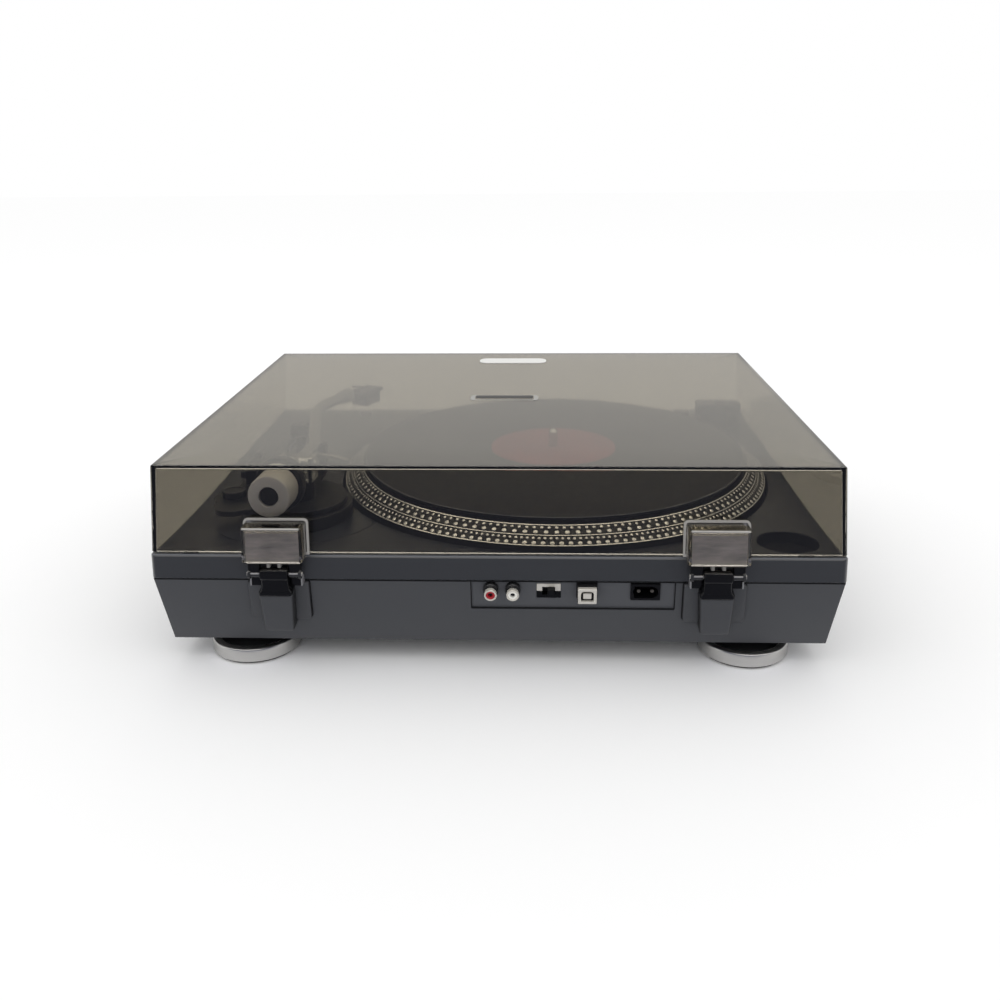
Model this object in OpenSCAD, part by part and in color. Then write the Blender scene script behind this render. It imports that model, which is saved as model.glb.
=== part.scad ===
// Direct drive turntable with a closed smoked dust cover.
// X runs to the right seen from the front, Y to the back, Z up. The origin lies on the table,
// under the middle of the whole outline, rear hinges included. All sizes are in millimetres.

/* [Plinth] */
// Width of the deck to the left of the platter well
deck_left = 16; // [12:0.5:40]
// Width of the deck to the right of the arm pivot
deck_right = 80; // [72:0.5:100]
// Depth of the deck in front of the platter well
deck_front = 11; // [10:0.5:40]
// Depth of the deck behind the platter well
deck_rear = 9; // [6:0.5:40]
// Height of the base underside above the table
foot_h = 15; // [13:0.5:20]
// Height of the lower base
base_h = 46; // [44:0.5:60]
// How far the base walls lean in from top to bottom
base_draft = 8; // [4:0.5:9]
// Step from the rim face in to the top of the base
base_inset = 1.3; // [0.8:0.1:2]
// Height of the deck rim
rim_h = 17; // [16.5:0.5:22]
// Wall of the base and of the deck rim
wall = 3; // [2.5:0.1:3.5]
// Floor of the base
floor_t = 3; // [2.5:0.1:4]
// Top plate of the deck
deck_t = 4; // [3:0.1:5]
// Radius of the upright corners of rim and cover
corner_r = 5; // [3:0.5:8]
// Chamfer on the long edges of the rim
rim_chamfer = 1.2; // [0.5:0.1:2]
// Radius of the shallow well that stores a single adapter
adapter_r = 20.5; // [17:0.5:21]
// Depth of the adapter well
adapter_depth = 8; // [5:0.5:8]
// Distance of the adapter well from the left edge
adapter_in_x = 32; // [30:1:36]
// Distance of the adapter well from the rear edge
adapter_in_y = 31; // [28:1:36]

/* [Feet] */
// Radius of the turned foot ring
foot_r = 30; // [24:0.5:31]
// Height of the silver band of a foot
foot_band = 9; // [7:0.5:10]
// Thickness of the rubber pad under a foot
foot_pad_t = 1.5; // [1:0.1:2.5]
// Radius of the foot screw
foot_stem_r = 6; // [4:0.5:7]
// Distance of a foot from the side of the rim
foot_in_x = 59; // [50:1:70]
// Distance of a foot from the front or rear of the rim
foot_in_y = 31; // [31:1:45]

/* [Dust cover] */
// Height of the cover
lid_h = 59; // [58:0.5:75]
// Wall of the cover
lid_wall = 3; // [2.5:0.1:3.5]
// How far the cover walls lean in from bottom to top
lid_draft = 1.3; // [0.5:0.1:2]
// Step from the rim face in to the side of the cover
lid_side_inset = 2.7; // [2:0.1:4]
// Step from the rim face in to the rear of the cover
lid_rear_inset = 2; // [1:0.1:3]
// Step from the rim face in to the front of the cover
lid_front_inset = 7; // [5:0.5:8]
// Height of the rubber bumpers that the cover rests on
lid_gap = 1; // [0.6:0.1:2]

/* [Hinges] */
// Distance of each hinge from the side of the rim
hinge_in = 84; // [76:1:90]
// Width of the clear pocket on the cover
pocket_w = 39; // [36:0.5:44]
// Height of the clear pocket
pocket_h = 20; // [18:0.5:24]
// Depth of the clear pocket behind the cover
pocket_d = 15; // [14:0.5:18]
// Wall of the clear pocket
pocket_wall = 2; // [1.5:0.1:2.5]
// Height of the pocket mouth above the cover's lower edge
pocket_lift = 2.5; // [2:0.1:5]
// Radius of the hinge pin
hinge_pin_r = 1.5; // [1:0.1:2]
// Radius of the hinge knuckle on the base
knuckle_r = 4.6; // [4:0.1:4.8]
// Length of the hinge knuckle on the base
knuckle_w = 18; // [14:0.5:20]
// Distance of the hinge pin out from the base wall
hinge_out = 6.9; // [6.5:0.1:7.2]
// Height of the hinge pin above the top of the base, along the wall
hinge_up = 8.8; // [8:0.1:10]
// Depth of the moulded hinge housing
house_d = 11.5; // [11:0.1:13]
// Length of the moulded hinge housing
house_h = 28; // [24:0.5:30]
// Width of the moulded hinge housing at its top
house_w = 22.4; // [20:0.2:26]
// Width of the flat pad behind the housing
pad_w = 40; // [36:0.5:44]

/* [Rear panel] */
// Distance of the connector panel from the pad of the left hinge
panel_gap = 5.25; // [2:0.25:12]
// Width of the connector panel
panel_w = 131.5; // [128:0.5:136]
// Height of the connector panel
panel_h = 21.5; // [19:0.5:24]
// Thickness of the connector panel
panel_t = 2; // [1.5:0.1:2.5]
// Radius of the insulated body of a phono jack
jack_r = 4.6; // [4.2:0.1:4.8]
// Reach of a phono jack out of the panel
jack_reach = 9; // [8:0.5:11]
// Middle distance of the two phono jacks
jack_pitch = 14.3; // [13:0.1:16]
// Side of the square socket for data
usb_size = 12.6; // [11:0.1:13.5]
// Width of the mains inlet
inlet_w = 18.8; // [18:0.1:21]
// Height of the mains inlet
inlet_h = 12; // [11.5:0.1:13]
// Travel of the slide switch
switch_travel = 3.2; // [2:0.1:4]

/* [Platter] */
// Flat edge of the platter around the record
platter_lip = 2; // [1:0.5:4]
// Width of the slanted strobe band, seen from above
strobe_w = 14; // [10:0.5:16]
// Height of the platter's flat top above the deck
platter_rise = 13.3; // [12:0.1:14]
// Height of the strobe band
strobe_h = 10; // [8:0.5:11]
// Thickness of the platter disc
platter_t = 5; // [4:0.5:6]
// Gap around the platter
well_gap = 2.5; // [2:0.1:3]
// Depth of the platter well
well_depth = 11; // [9:0.5:12]
// Thickness of the mat
mat_t = 2.4; // [1.5:0.1:3]
// Radius of the record
record_r = 150.5; // [148:0.5:151]
// Thickness of the record
record_t = 1.6; // [1.2:0.1:2]
// Radius of the record label
label_r = 50; // [46:0.5:52]
// Radius of the spindle tip
spindle_r = 3.6; // [3:0.05:3.6]
// Height of the spindle above the record
spindle_up = 14; // [8:0.5:16]
// Radius of the bearing shaft
shaft_r = 4; // [3.8:0.1:5]
// Outer radius of the bearing sleeve
bearing_r = 9; // [8:0.5:10]
// Length of the bearing sleeve below the deck well
bearing_drop = 26; // [20:0.5:30]
// Height of the stator coils
coil_h = 8; // [5:0.5:9]
// Number of stator coils
coil_count = 9; // [6:1:10]

/* [Tonearm] */
// Gap between the platter well and the height ring
arm_gap = 1.4; // [1:0.1:6]
// Direction of the arm pivot seen from the spindle, from the right towards the back
arm_bearing = 27.9; // [25:0.1:29]
// Height of the arm axis above the deck
arm_up = 34; // [33:0.5:35]
// How far the stylus reaches past the spindle
overhang = 17.1; // [15:0.1:19]
// Radius of the arm tube
tube_r = 4.6; // [4.2:0.1:5.2]
// Straight run of the arm before its first bend
arm_straight = 35; // [32:1:38]
// Outward angle of the arm's middle run
arm_out = 15; // [14:0.5:16]
// Inward angle of the headshell
arm_offset = 22; // [20:0.5:22.5]
// Bend radius of the arm
bend_r = 70; // [62:1:72]
// Angle of the parked arm
park_angle = 3.6; // [2:0.1:5]
// Length from the arm socket to the stylus
head_len = 38; // [36:0.5:39]
// Radius of the height ring
height_ring_r = 39; // [37:0.5:42]
// Height of the height ring
height_ring_h = 9; // [8:0.1:9]
// Travel of the arm when its height is set
height_travel = 4; // [2:0.5:4]
// Radius of the arm pillar
pillar_r = 12.5; // [11:0.5:13]
// Radius of the counterweight
weight_r = 14.2; // [13:0.1:16]
// Length of the counterweight
weight_len = 21; // [18:0.5:24]
// Distance of the counterweight's front face behind the pivot
weight_back = 42; // [40:0.5:45]
// Radius of the arm's rear shaft
rear_shaft_r = 4; // [3:0.1:4.5]
// Radius of the tracking force dial
dial_r = 17.2; // [15:0.1:18]
// Radius of the anti skate dial
skate_r = 8.5; // [7:0.1:9]
// Distance of the arm lift and its bar from the pivot
lift_r = 40; // [38:0.5:42]
// Distance of the arm rest in front of the pivot
rest_dist = 62; // [60:0.5:66]

/* [Controls] */
// Width of the start button
start_w = 32; // [26:0.5:34]
// Depth of the start button
start_d = 26; // [20:0.5:28]
// Width of a speed button
speed_w = 15; // [12:0.5:16]
// Depth of a speed button
speed_d = 9; // [7:0.5:11]
// Travel of the push buttons
button_travel = 1.5; // [1:0.1:2]
// Length of the pitch slider's travel
fader_travel = 90; // [60:1:100]
// Radius of the power knob
power_r = 11; // [9:0.5:12]
// Height of the strobe lamp tower
tower_h = 20; // [17:0.5:22]
// Radius of the pop up lamp
lamp_r = 6; // [4.5:0.1:7]
// Travel of the pop up lamp
lamp_travel = 20; // [12:0.5:22]

/* [Fits] */
// Radial clearance of shafts and pins that turn
run_fit = 0.05; // [0.03:0.01:0.1]
// Clearance of pieces that drop into an opening
drop_fit = 0.2; // [0.15:0.01:0.3]
// Clearance beside pieces that travel
slide_fit = 0.3; // [0.2:0.01:0.4]

/* [Hidden] */
$fn = 96;
over = 1;                                   // how far a cut runs past a face

// Plan: the platter stands beside the arm, and the plinth goes round both
platter_top_r = record_r + platter_lip;
platter_r = platter_top_r + strobe_w;
well_r = platter_r + well_gap;
arm_dist = well_r + arm_gap + height_ring_r;
arm_length = arm_dist + overhang;
plinth_w = deck_left + well_r + arm_dist * cos(arm_bearing) + deck_right;
plinth_d = deck_front + 2 * well_r + deck_rear;

// Levels
base_z = foot_h;
rim_z = base_z + base_h;
deck_z = rim_z + rim_h;
lid_z = deck_z + lid_gap;
lid_top = lid_z + lid_h;
rear_reach = pocket_d - lid_rear_inset;
mid_y = -rear_reach / 2;
rear_y = mid_y + plinth_d / 2;
front_y = mid_y - plinth_d / 2;
left_x = -plinth_w / 2;
base_w = plinth_w - 2 * base_inset;
base_d = plinth_d - 2 * base_inset;
draft_angle = atan(base_draft / base_h);
adapter_at = [left_x + adapter_in_x, rear_y - adapter_in_y];

// Fasteners and feet
screw_r = 1.8;
screw_head_r = 3.4;
screw_head_t = 2;
post_r = 4.5;
screw_end = 3;                              // how far a screw stays below the deck plate
screw_rear_in = [75, 21];
screw_front_in = [105, 16];
screw_rear = [plinth_w / 2 - screw_rear_in.x, rear_y - screw_rear_in.y];
screw_front = [plinth_w / 2 - screw_front_in.x, front_y + screw_front_in.y];
screw_spots = [
    [-screw_rear.x, screw_rear.y], [-screw_front.x, screw_front.y],
    [screw_rear.x, screw_rear.y], [screw_front.x, screw_front.y]
];
foot_spots = [[-1, -1], [1, -1], [-1, 1], [1, 1]];
foot_boss_r = foot_stem_r + 5;
foot_boss_h = 12;
foot_boss_roof = 2;
foot_stem_top = base_z + foot_boss_h - foot_boss_roof - 0.5;
foot_edge = 0.8;
foot_pad_in = 2;
foot_hub_in = 5.5;
foot_sunk = 3;
adapter_wall = 2;
rim_in_r = max(over, corner_r - wall);
scribe_r = 60;                              // fine ring cut in the deck around the arm
scribe_w = 0.8;
scribe_depth = 0.5;

// Dust cover
lid_w = plinth_w - 2 * lid_side_inset;
lid_rear_y = rear_y - lid_rear_inset;
lid_front_y = front_y + lid_front_inset;
lid_d = lid_rear_y - lid_front_y;
lid_mid_y = (lid_rear_y + lid_front_y) / 2;
lid_chamfer = 2;
lid_chamfer_min = 0.4;
bumper_w = 10;
bumper_d = lid_wall - 0.6;
bumper_h = lid_gap - 0.1;
bumper_in = 24;

// Hinges
hinge_x = plinth_w / 2 - hinge_in;
hinge_y = rear_y - base_inset + hinge_out * cos(draft_angle) + hinge_up * sin(draft_angle);
hinge_z = rim_z - hinge_out * sin(draft_angle) + hinge_up * cos(draft_angle);
house_top = -5;
house_taper = 1.7;
pad_t = 3;
pad_rise = 4;
shoulder_t = 2.8;
shoulder_in = 0.3;
shoulder_out = 0.8;
leg_w = 15;
leg_t = 5;
leg_short = 8;
leg_h = house_h - leg_short;
leg_lap = 1;
pin_end = 0.6;
leaf_lap = 0.5;
barrel_r = knuckle_r - 1.4;
leaf_w = pocket_w - 2 * pocket_wall - 2 * drop_fit;
leaf_t = 5;
leaf_z = hinge_z + knuckle_r + 2;
leaf_top = lid_z + pocket_lift + pocket_h - pocket_wall - 2;
pocket_z = lid_z + pocket_lift;
flange_t = 1.5;
flange_lip = 1.6;

// Rear panel, measured along the leaning wall from the top of the base
panel_x = -hinge_x + pad_w / 2 + panel_gap + panel_w / 2;
panel_sink = 1;
panel_top_gap = 0.6;
connector_z = -7.8;
jack_z = -6;
jack_x = 45.8;
jack_body = [9, 4];                         // how far the body reaches in, and stays short of the rim
jack_core = [14, 3];                        // the same for its slimmer core
jack_core_in = 0.8;
jack_shell_in = 0.6;
jack_shell_t = 1;
jack_cup_sunk = 0.5;
jack_cup_r = jack_r - jack_shell_in - jack_shell_t;
jack_cup_y = jack_reach - jack_core[1];
jack_hole_r = 1.6;
jack_hole_end = 2.4;
switch_x = 15.5;
switch_w = 15.4;
switch_h = 10.6;
switch_knob_w = 4.6;
switch_deep = 6;
switch_proud = 0.4;
switch_pocket = 4;
switch_knob_d = 8;
usb_x = -9.2;
usb_z = -7.3;
usb_h = usb_size - 0.9;
usb_deep = 9;
usb_out = 5;
usb_face_in = 0.3;
usb_face_t = 2.6;
usb_mouth_in = 2;
usb_mouth_floor = 0.6;
usb_tongue = [5.6, 1.8, 3.2];
usb_tongue_back = 0.4;
inlet_x = -46.9;
inlet_depth = 12;
inlet_proud = 1.5;
inlet_wall = 1.6;
inlet_floor = 3;
inlet_round = inlet_w / 4 - 1;              // half the distance of the round ends of the cavity
inlet_pin_r = 1.2;
inlet_pin_x = 4.3;

// Platter and motor
platter_x = left_x + deck_left + well_r;
plat_y = front_y + deck_front + well_r;
plat_z = deck_z + platter_rise;
plat_under_z = plat_z - platter_t;
strobe_z = plat_z - strobe_h;
skirt_drop = 7;
skirt_z = deck_z - skirt_drop;
skirt_t = 6;
skirt_slope = 8;
well_z = deck_z - well_depth;
record_z = plat_z + mat_t;
record_top = record_z + record_t;
spindle_groove = 1;                         // groove between the record and the free end
spindle_groove_in = 0.5;
spindle_taper = 2;
thrust_gap = 0.2;
mat_in = 2;
label_t = 0.2;
board_t = 1.6;
board_r = 46;
bearing_flange_r = 13;
bearing_flange_t = 3;
bearing_bottom = well_z - bearing_drop;
bearing_cap_t = 3;
hub_r = 16;
hub_z = well_z + bearing_flange_t + 4;
coil_r = 7.5;
coil_hole_r = 2.5;
coil_ring_r = 30;
coil_top = well_z + board_t + coil_h;
rotor_gap = 1.5;
magnet_in_r = coil_ring_r - coil_r - 2;
magnet_out_r = coil_ring_r + coil_r + 2;

// Tonearm
arm_x = platter_x + arm_dist * cos(arm_bearing);
arm_y = plat_y + arm_dist * sin(arm_bearing);
arm_z = deck_z + arm_up;
core_r = 30;
core_bore_r = 20;
ring_float = 0.2;
plate_gap = 0.6;
plate_float = 0.3;
lap = 0.5;                                  // how far joined forms of one piece run into each other
plate_z = deck_z + height_ring_h + plate_gap;
plate_t = 3.4;
plate_top = plate_z + plate_t;
plate_r = height_ring_r - 4;
pillar_top = arm_z - tube_r - 5;
yoke_t = 3;
yoke_in = 9.6;
yoke_wall = 3.6;
yoke_deep = 14;
yoke_h = 6;
spigot_r = 6;
spigot_h = 9;
spigot_slack = 1;
swing_gap = 0.3;
hub_half = yoke_in - 0.8;
hub_extra = 0.2;
pivot_screw_r = 1.5;
pivot_screw_in = 2.2;
pivot_screw_end = 0.1;
pivot_hole_x = hub_half - pivot_screw_in - pivot_screw_end;
pivot_head = [1.2, 1.4];
side_step = bend_r * (2 * cos(arm_out) - 1 - cos(arm_offset));
long_step = arm_length - arm_straight - bend_r * (2 * sin(arm_out) + sin(arm_offset));
middle_run = (side_step * cos(arm_offset) + long_step * sin(arm_offset)) / sin(arm_out + arm_offset);
head_run = (long_step - middle_run * cos(arm_out)) / cos(arm_offset);
bend_1 = [bend_r * (1 - cos(arm_out)), -arm_straight - bend_r * sin(arm_out)];
bend_2 = bend_1 + middle_run * [sin(arm_out), -cos(arm_out)];
bend_2_mid = bend_2 - bend_r * [cos(arm_out), sin(arm_out)];
bend_3 = bend_2_mid + bend_r * [cos(arm_offset), -sin(arm_offset)];
bend_slim = 0.05;                           // the drawn bends are this much slimmer than the tube
bend_lap = 0.3;                             // the straight runs sleeve onto the bends by this much
tube_back = 14;
shaft_lap = 1;
cap_sunk = 4.8;
cap_len = 3.6;
shaft_len = weight_back + weight_len - cap_sunk;
cap_r = rear_shaft_r + 2.2;
dial_len = 7.4;
skate_at = [46, 1];
lobe_at = [41, 18];
lobe_r = 14;
skate_pin_r = 2;
skate_h = 4.6;
skate_gap = 0.2;
lobe_trim = [2, 1];
plate_dip = [14, 10];
rest_arm = [12, 8];
rest_post_r = 4;
rest_post_up = 2;
rest_bar = [8, 4];
rest_leg = 5;
tongue_over = 5;
tongue_side = 8;
tongue_lap = 13;
lift_pin_r = 3;
lift_bar = 2.6;
lift_bar_w = 4;
lift_start = 15;
lift_sweep = 66;
lift_top = arm_z - tube_r - 0.4;
lever_at = [41, -30];
lever_len = 34;
lever_r = 2.2;
lever_pin_r = 2;
lever_block = 8;
lever_block_d = 10;
lever_block_up = 4;
lever_pad = [12, 30];
lever_pad_at = [8, 6];
lever_collar = 1.6;
lever_collar_w = 4;
lever_tip = 6;
lever_slim = 0.4;
lever_swell = 0.6;
lever_up = 6;
lever_z = plate_top + lever_up;
head_t = 3;
head_w = 18;
head_back = 24;
head_front = 10;
head_top = arm_z - 0.5;
head_shoulder = 8;
head_slot = [2.8, 16];
head_slot_x = 6.35;
head_slot_front = 5;
neck_lap = 4;
finger_r = 1.1;
finger_len = 13;
finger_back = -4;
cartridge_w = 16;
cartridge_d = 22;
cartridge_h = 10;
cartridge_front = 6;
contact_r = 0.7;
contact_len = 3;
contact_x = 4;
stylus_gap = 0.4;
stylus_w = 7;
stylus_d = 14;
stylus_h = 7;
stylus_t = 1.6;
stylus_front = 8;
needle_r = [0.3, 0.8];
needle_lap = 0.2;
collar_len = 12;
collar_lap = 4;
collar_r = tube_r + 1.6;
neck_r = 3.4;

// Controls
button_rise = 2.5;
button_deep = 8;
cup_t = 1.5;                                // wall of the closed cup that guides a button
cup_depth = button_deep + button_travel + slide_fit;
start_in = [27, 26];
start_at = [left_x + start_in.x, front_y + start_in.y];
speed_in = [59, 17];
speed_at = [left_x + speed_in.x, front_y + speed_in.y];
speed_pitch = 18;
tower_in = [21, 55];
tower_at = [left_x + tower_in.x, front_y + tower_in.y];
tower_r = power_r + 1;
tower_box = [29, 22];
tower_step = 8;
window_depth = 1;
knob_h = 8;
knob_gap = 0.2;
knob_pin_r = 2.5;
knob_pin_z = 2;
fader_in = [36, 88];
fader_at = [plinth_w / 2 - fader_in.x, front_y + fader_in.y];
fader_slot = 4;
fader_stem = 6;
fader_slack = 1;
fader_float = 0.4;
fader_stem_end = 1;
fader_run = fader_travel + fader_stem + 2 * fader_slack;
fader_cap = [16, 11, 8];
fader_box = [14, 10];
fader_end = 6;
lamp_in = [85, 20];
lamp_at = [plinth_w / 2 - lamp_in.x, front_y + lamp_in.y];
lamp_guide = lamp_travel + 4;
lamp_proud = 0.6;
lamp_window = [3, 6];
lamp_window_top = 9;

// Boards inside the plinth, the main one with its transformer, capacitors and heat sink
main_board_size = [130, 80];
main_board_in = 85;
main_board_at = [panel_x, rear_y - main_board_in];
main_board_post = main_board_size / 2 - [6, 6];
main_board_lift = 6;
board_post_r = 3;
transformer_at = [-40, 0];
transformer_size = [44, 38, 30];
capacitor_at = [4, 18];
capacitor_pitch = 20;
capacitor_r = 6;
capacitor_h = 14;
sink_at = [-4, -34];
sink_size = [60, 16, 10];
control_board_size = [78, 21];
control_board_in = [49, 17];
control_board_at = [left_x + control_board_in.x, front_y + control_board_in.y];
control_board_z = deck_z - cup_depth - cup_t - board_t;

// How far the base wall has leaned in at height z
function lean(z) = base_draft * (rim_z - z) / base_h;

// Flat outline of a rectangle with round corners
module rounded_plan(w, d, r) {
    square([w - 2 * r, d], center = true);
    square([w, d - 2 * r], center = true);
    for (sx = [-1, 1], sy = [-1, 1])
        translate([sx * (w / 2 - r), sy * (d / 2 - r)]) circle(r);
}

// Side outline of a block that leans from size a at z0 to size b at z1, with chamfered edges
module leaning_side(a, b, z0, z1, top, bottom) {
    polygon([
        [-a / 2, z0 + bottom], [-a / 2 + bottom, z0], [a / 2 - bottom, z0], [a / 2, z0 + bottom],
        [b / 2, z1 - top], [b / 2 - top, z1], [-b / 2 + top, z1], [-b / 2, z1 - top]
    ]);
}

// Block whose four sides lean, w0 by d0 at z0 and w1 by d1 at z1
module leaning_block(w0, d0, w1, d1, z0, z1, top = 0, bottom = 0) {
    intersection() {
        rotate([90, 0, 0])
            linear_extrude(max(d0, d1) + 2 * over, center = true)
                leaning_side(w0, w1, z0, z1, top, bottom);
        rotate([90, 0, 90])
            linear_extrude(max(w0, w1) + 2 * over, center = true)
                leaning_side(d0, d1, z0, z1, top, bottom);
    }
}

// The base between two heights, drawn in from its outer faces
module base_block(z0, z1, inset) {
    in0 = lean(z0) + inset;
    in1 = lean(z1) + inset;
    translate([0, mid_y, 0])
        leaning_block(base_w - 2 * in0, base_d - 2 * in0, base_w - 2 * in1, base_d - 2 * in1, z0, z1);
}

// Frame on the leaning rear wall: y out of the wall, z along it from the top of the base
module on_rear(x) {
    translate([x, rear_y - base_inset, rim_z])
        rotate([-draft_angle, 0, 0])
            children();
}

// Frame of the connector panel, with y measured from the panel's outer face
module on_panel() {
    on_rear(panel_x)
        translate([0, -panel_sink, 0])
            children();
}

// Cylinder along Y from y0 to y1
module along_y(r, y0, y1) {
    translate([0, y0, 0])
        rotate([-90, 0, 0])
            cylinder(r = r, h = y1 - y0);
}

// Cylinder along X from x0 to x1
module along_x(r, x0, x1) {
    translate([x0, 0, 0])
        rotate([0, 90, 0])
            cylinder(r = r, h = x1 - x0);
}

// Both hinges
module each_hinge() {
    for (s = [-1, 1])
        translate([s * hinge_x, 0, 0])
            children();
}

// Moulded housings on the leaning wall, which the hinge legs drop into
module hinge_housings() {
    color("#48494c")
        for (s = [-1, 1])
            on_rear(s * hinge_x)
                difference() {
                    union() {
                        translate([-pad_w / 2, 0, house_top - house_h + pad_rise])
                            cube([pad_w, pad_t, house_h]);
                        translate([0, house_d, 0])
                            rotate([90, 0, 0])
                                linear_extrude(house_d)
                                    polygon([
                                        [-house_w / 2, house_top], [house_w / 2, house_top],
                                        [house_w / 2 - house_taper, house_top - house_h],
                                        [-house_w / 2 + house_taper, house_top - house_h]
                                    ]);
                    }
                    translate([-house_w / 2 - slide_fit, -over, house_top])
                        cube([house_w + 2 * slide_fit, 2 * pad_t, house_h]);
                    translate([
                        -leg_w / 2 - drop_fit,
                        hinge_out - leg_t / 2 - drop_fit,
                        house_top - leg_h - drop_fit
                    ])
                        cube([leg_w + 2 * drop_fit, leg_t + 2 * drop_fit, leg_h + over]);
                }
}

module plinth_base() {
    color("#48494c")
        difference() {
            union() {
                difference() {
                    base_block(base_z, rim_z, 0);
                    base_block(base_z + floor_t, rim_z + over, wall);
                }
                intersection() {
                    base_block(base_z, rim_z, 0);
                    for (p = screw_spots)
                        translate([p.x, p.y, base_z])
                            cylinder(r = post_r, h = base_h);
                }
                for (s = foot_spots)
                    foot_place(s)
                        translate([0, 0, base_z])
                            cylinder(r = foot_boss_r, h = foot_boss_h);
                translate([main_board_at.x, main_board_at.y, base_z])
                    for (s = [-1, 1], t = [-1, 1])
                        translate([s * main_board_post.x, t * main_board_post.y, 0])
                            cylinder(r = board_post_r, h = floor_t + main_board_lift);
            }
            for (s = foot_spots)
                foot_place(s)
                    translate([0, 0, base_z - over])
                        cylinder(r = foot_stem_r + run_fit, h = foot_boss_h - foot_boss_roof + over);
            for (p = screw_spots)
                translate([p.x, p.y, base_z - over]) {
                    cylinder(r = screw_r + drop_fit, h = base_h + 2 * over);
                    cylinder(r = screw_head_r + drop_fit, h = screw_head_t + over);
                }
            on_rear(panel_x)
                translate([-panel_w / 2 - drop_fit, -2 * wall, -panel_h - drop_fit])
                    cube([panel_w + 2 * drop_fit, 3 * wall, panel_h + 2 * wall]);
        }
}

module deck_shell() {
    intersection() {
        translate([0, mid_y, 0])
            leaning_block(plinth_w, plinth_d, plinth_w, plinth_d, rim_z, deck_z, rim_chamfer, rim_chamfer);
        translate([0, mid_y, rim_z - over])
            linear_extrude(rim_h + 2 * over)
                rounded_plan(plinth_w, plinth_d, corner_r);
    }
}

module deck() {
    color("#3b3a3b")
        difference() {
            union() {
                difference() {
                    deck_shell();
                    translate([0, mid_y, rim_z - over])
                        linear_extrude(rim_h - deck_t + over)
                            rounded_plan(plinth_w - 2 * wall, plinth_d - 2 * wall, rim_in_r);
                }
                translate([platter_x, plat_y, well_z - wall])
                    cylinder(r = well_r + wall, h = deck_z - well_z + wall - rim_chamfer);
                translate([adapter_at.x, adapter_at.y, deck_z - adapter_depth - adapter_wall])
                    cylinder(r = adapter_r + adapter_wall, h = adapter_depth);
                for (p = screw_spots)
                    translate([p.x, p.y, rim_z])
                        cylinder(r = post_r, h = rim_h - deck_t / 2);
                translate([lamp_at.x, lamp_at.y, deck_z - lamp_guide - wall])
                    cylinder(r = lamp_r + wall, h = lamp_guide + wall - deck_t / 2);
                push_cup(start_at, start_w, start_d, cup_t, cup_depth + cup_t, -deck_t / 2);
                for (i = [0, 1])
                    push_cup(
                        speed_at + [i * speed_pitch, 0], speed_w, speed_d,
                        cup_t, cup_depth + cup_t, -deck_t / 2
                    );
            }
            translate([platter_x, plat_y, well_z])
                cylinder(r = well_r, h = well_depth + over);
            translate([platter_x, plat_y, well_z - wall - over])
                cylinder(r = bearing_r + drop_fit, h = wall + 2 * over);
            translate([adapter_at.x, adapter_at.y, deck_z - adapter_depth])
                cylinder(r = adapter_r, h = adapter_depth + over);
            for (p = screw_spots)
                translate([p.x, p.y, rim_z - over])
                    cylinder(r = screw_r + run_fit, h = rim_h - deck_t + over);
            translate([arm_x, arm_y, deck_z - scribe_depth])
                difference() {
                    cylinder(r = scribe_r, h = over);
                    translate([0, 0, -over])
                        cylinder(r = scribe_r - scribe_w, h = 3 * over);
                }
            push_cup(start_at, start_w, start_d, 0, cup_depth, over);
            for (i = [0, 1])
                push_cup(speed_at + [i * speed_pitch, 0], speed_w, speed_d, 0, cup_depth, over);
            translate([fader_at.x, fader_at.y, deck_z - deck_t - over])
                translate([-fader_slot / 2 - slide_fit, -fader_run / 2, 0])
                    cube([fader_slot + 2 * slide_fit, fader_run, deck_t + 2 * over]);
            translate([lamp_at.x, lamp_at.y, deck_z - lamp_guide - slide_fit])
                cylinder(r = lamp_r + slide_fit, h = lamp_guide + slide_fit + over);
        }
}

// Block around a push button, from a depth below the deck's face up to a height above it
module push_cup(at, w, d, side, depth, up) {
    grow = slide_fit + side;
    translate([at.x - w / 2 - grow, at.y - d / 2 - grow, deck_z - depth])
        cube([w + 2 * grow, d + 2 * grow, depth + up]);
}

module case_screws() {
    color("#8d8d90")
        for (p = screw_spots)
            translate([p.x, p.y, base_z]) {
                cylinder(r = screw_head_r, h = screw_head_t);
                cylinder(r = screw_r, h = base_h + rim_h - deck_t - screw_end);
            }
}

// Place of one foot, given as a pair of signs
module foot_place(s) {
    translate([s.x * (plinth_w / 2 - foot_in_x), mid_y + s.y * (plinth_d / 2 - foot_in_y), 0])
        children();
}

// Turned foot: rubber pad, silver band with a sunk top, and the screw
module foot(s) {
    top = foot_pad_t + foot_band;
    hub = foot_r - foot_hub_in;
    color("#b9b9bb")
        foot_place(s) {
            rotate_extrude()
                polygon([
                    [0, 0], [foot_r - foot_pad_in, 0], [foot_r - foot_pad_in, foot_pad_t],
                    [foot_r - foot_edge, foot_pad_t], [foot_r, foot_pad_t + foot_edge],
                    [foot_r, top - foot_edge], [foot_r - foot_edge, top], [hub, top],
                    [hub, top - foot_sunk], [foot_stem_r, top - foot_sunk],
                    [foot_stem_r, foot_stem_top], [0, foot_stem_top]
                ]);
        }
}

module foot_front_left() { foot(foot_spots[0]); }
module foot_front_right() { foot(foot_spots[1]); }
module foot_rear_left() { foot(foot_spots[2]); }
module foot_rear_right() { foot(foot_spots[3]); }

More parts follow.
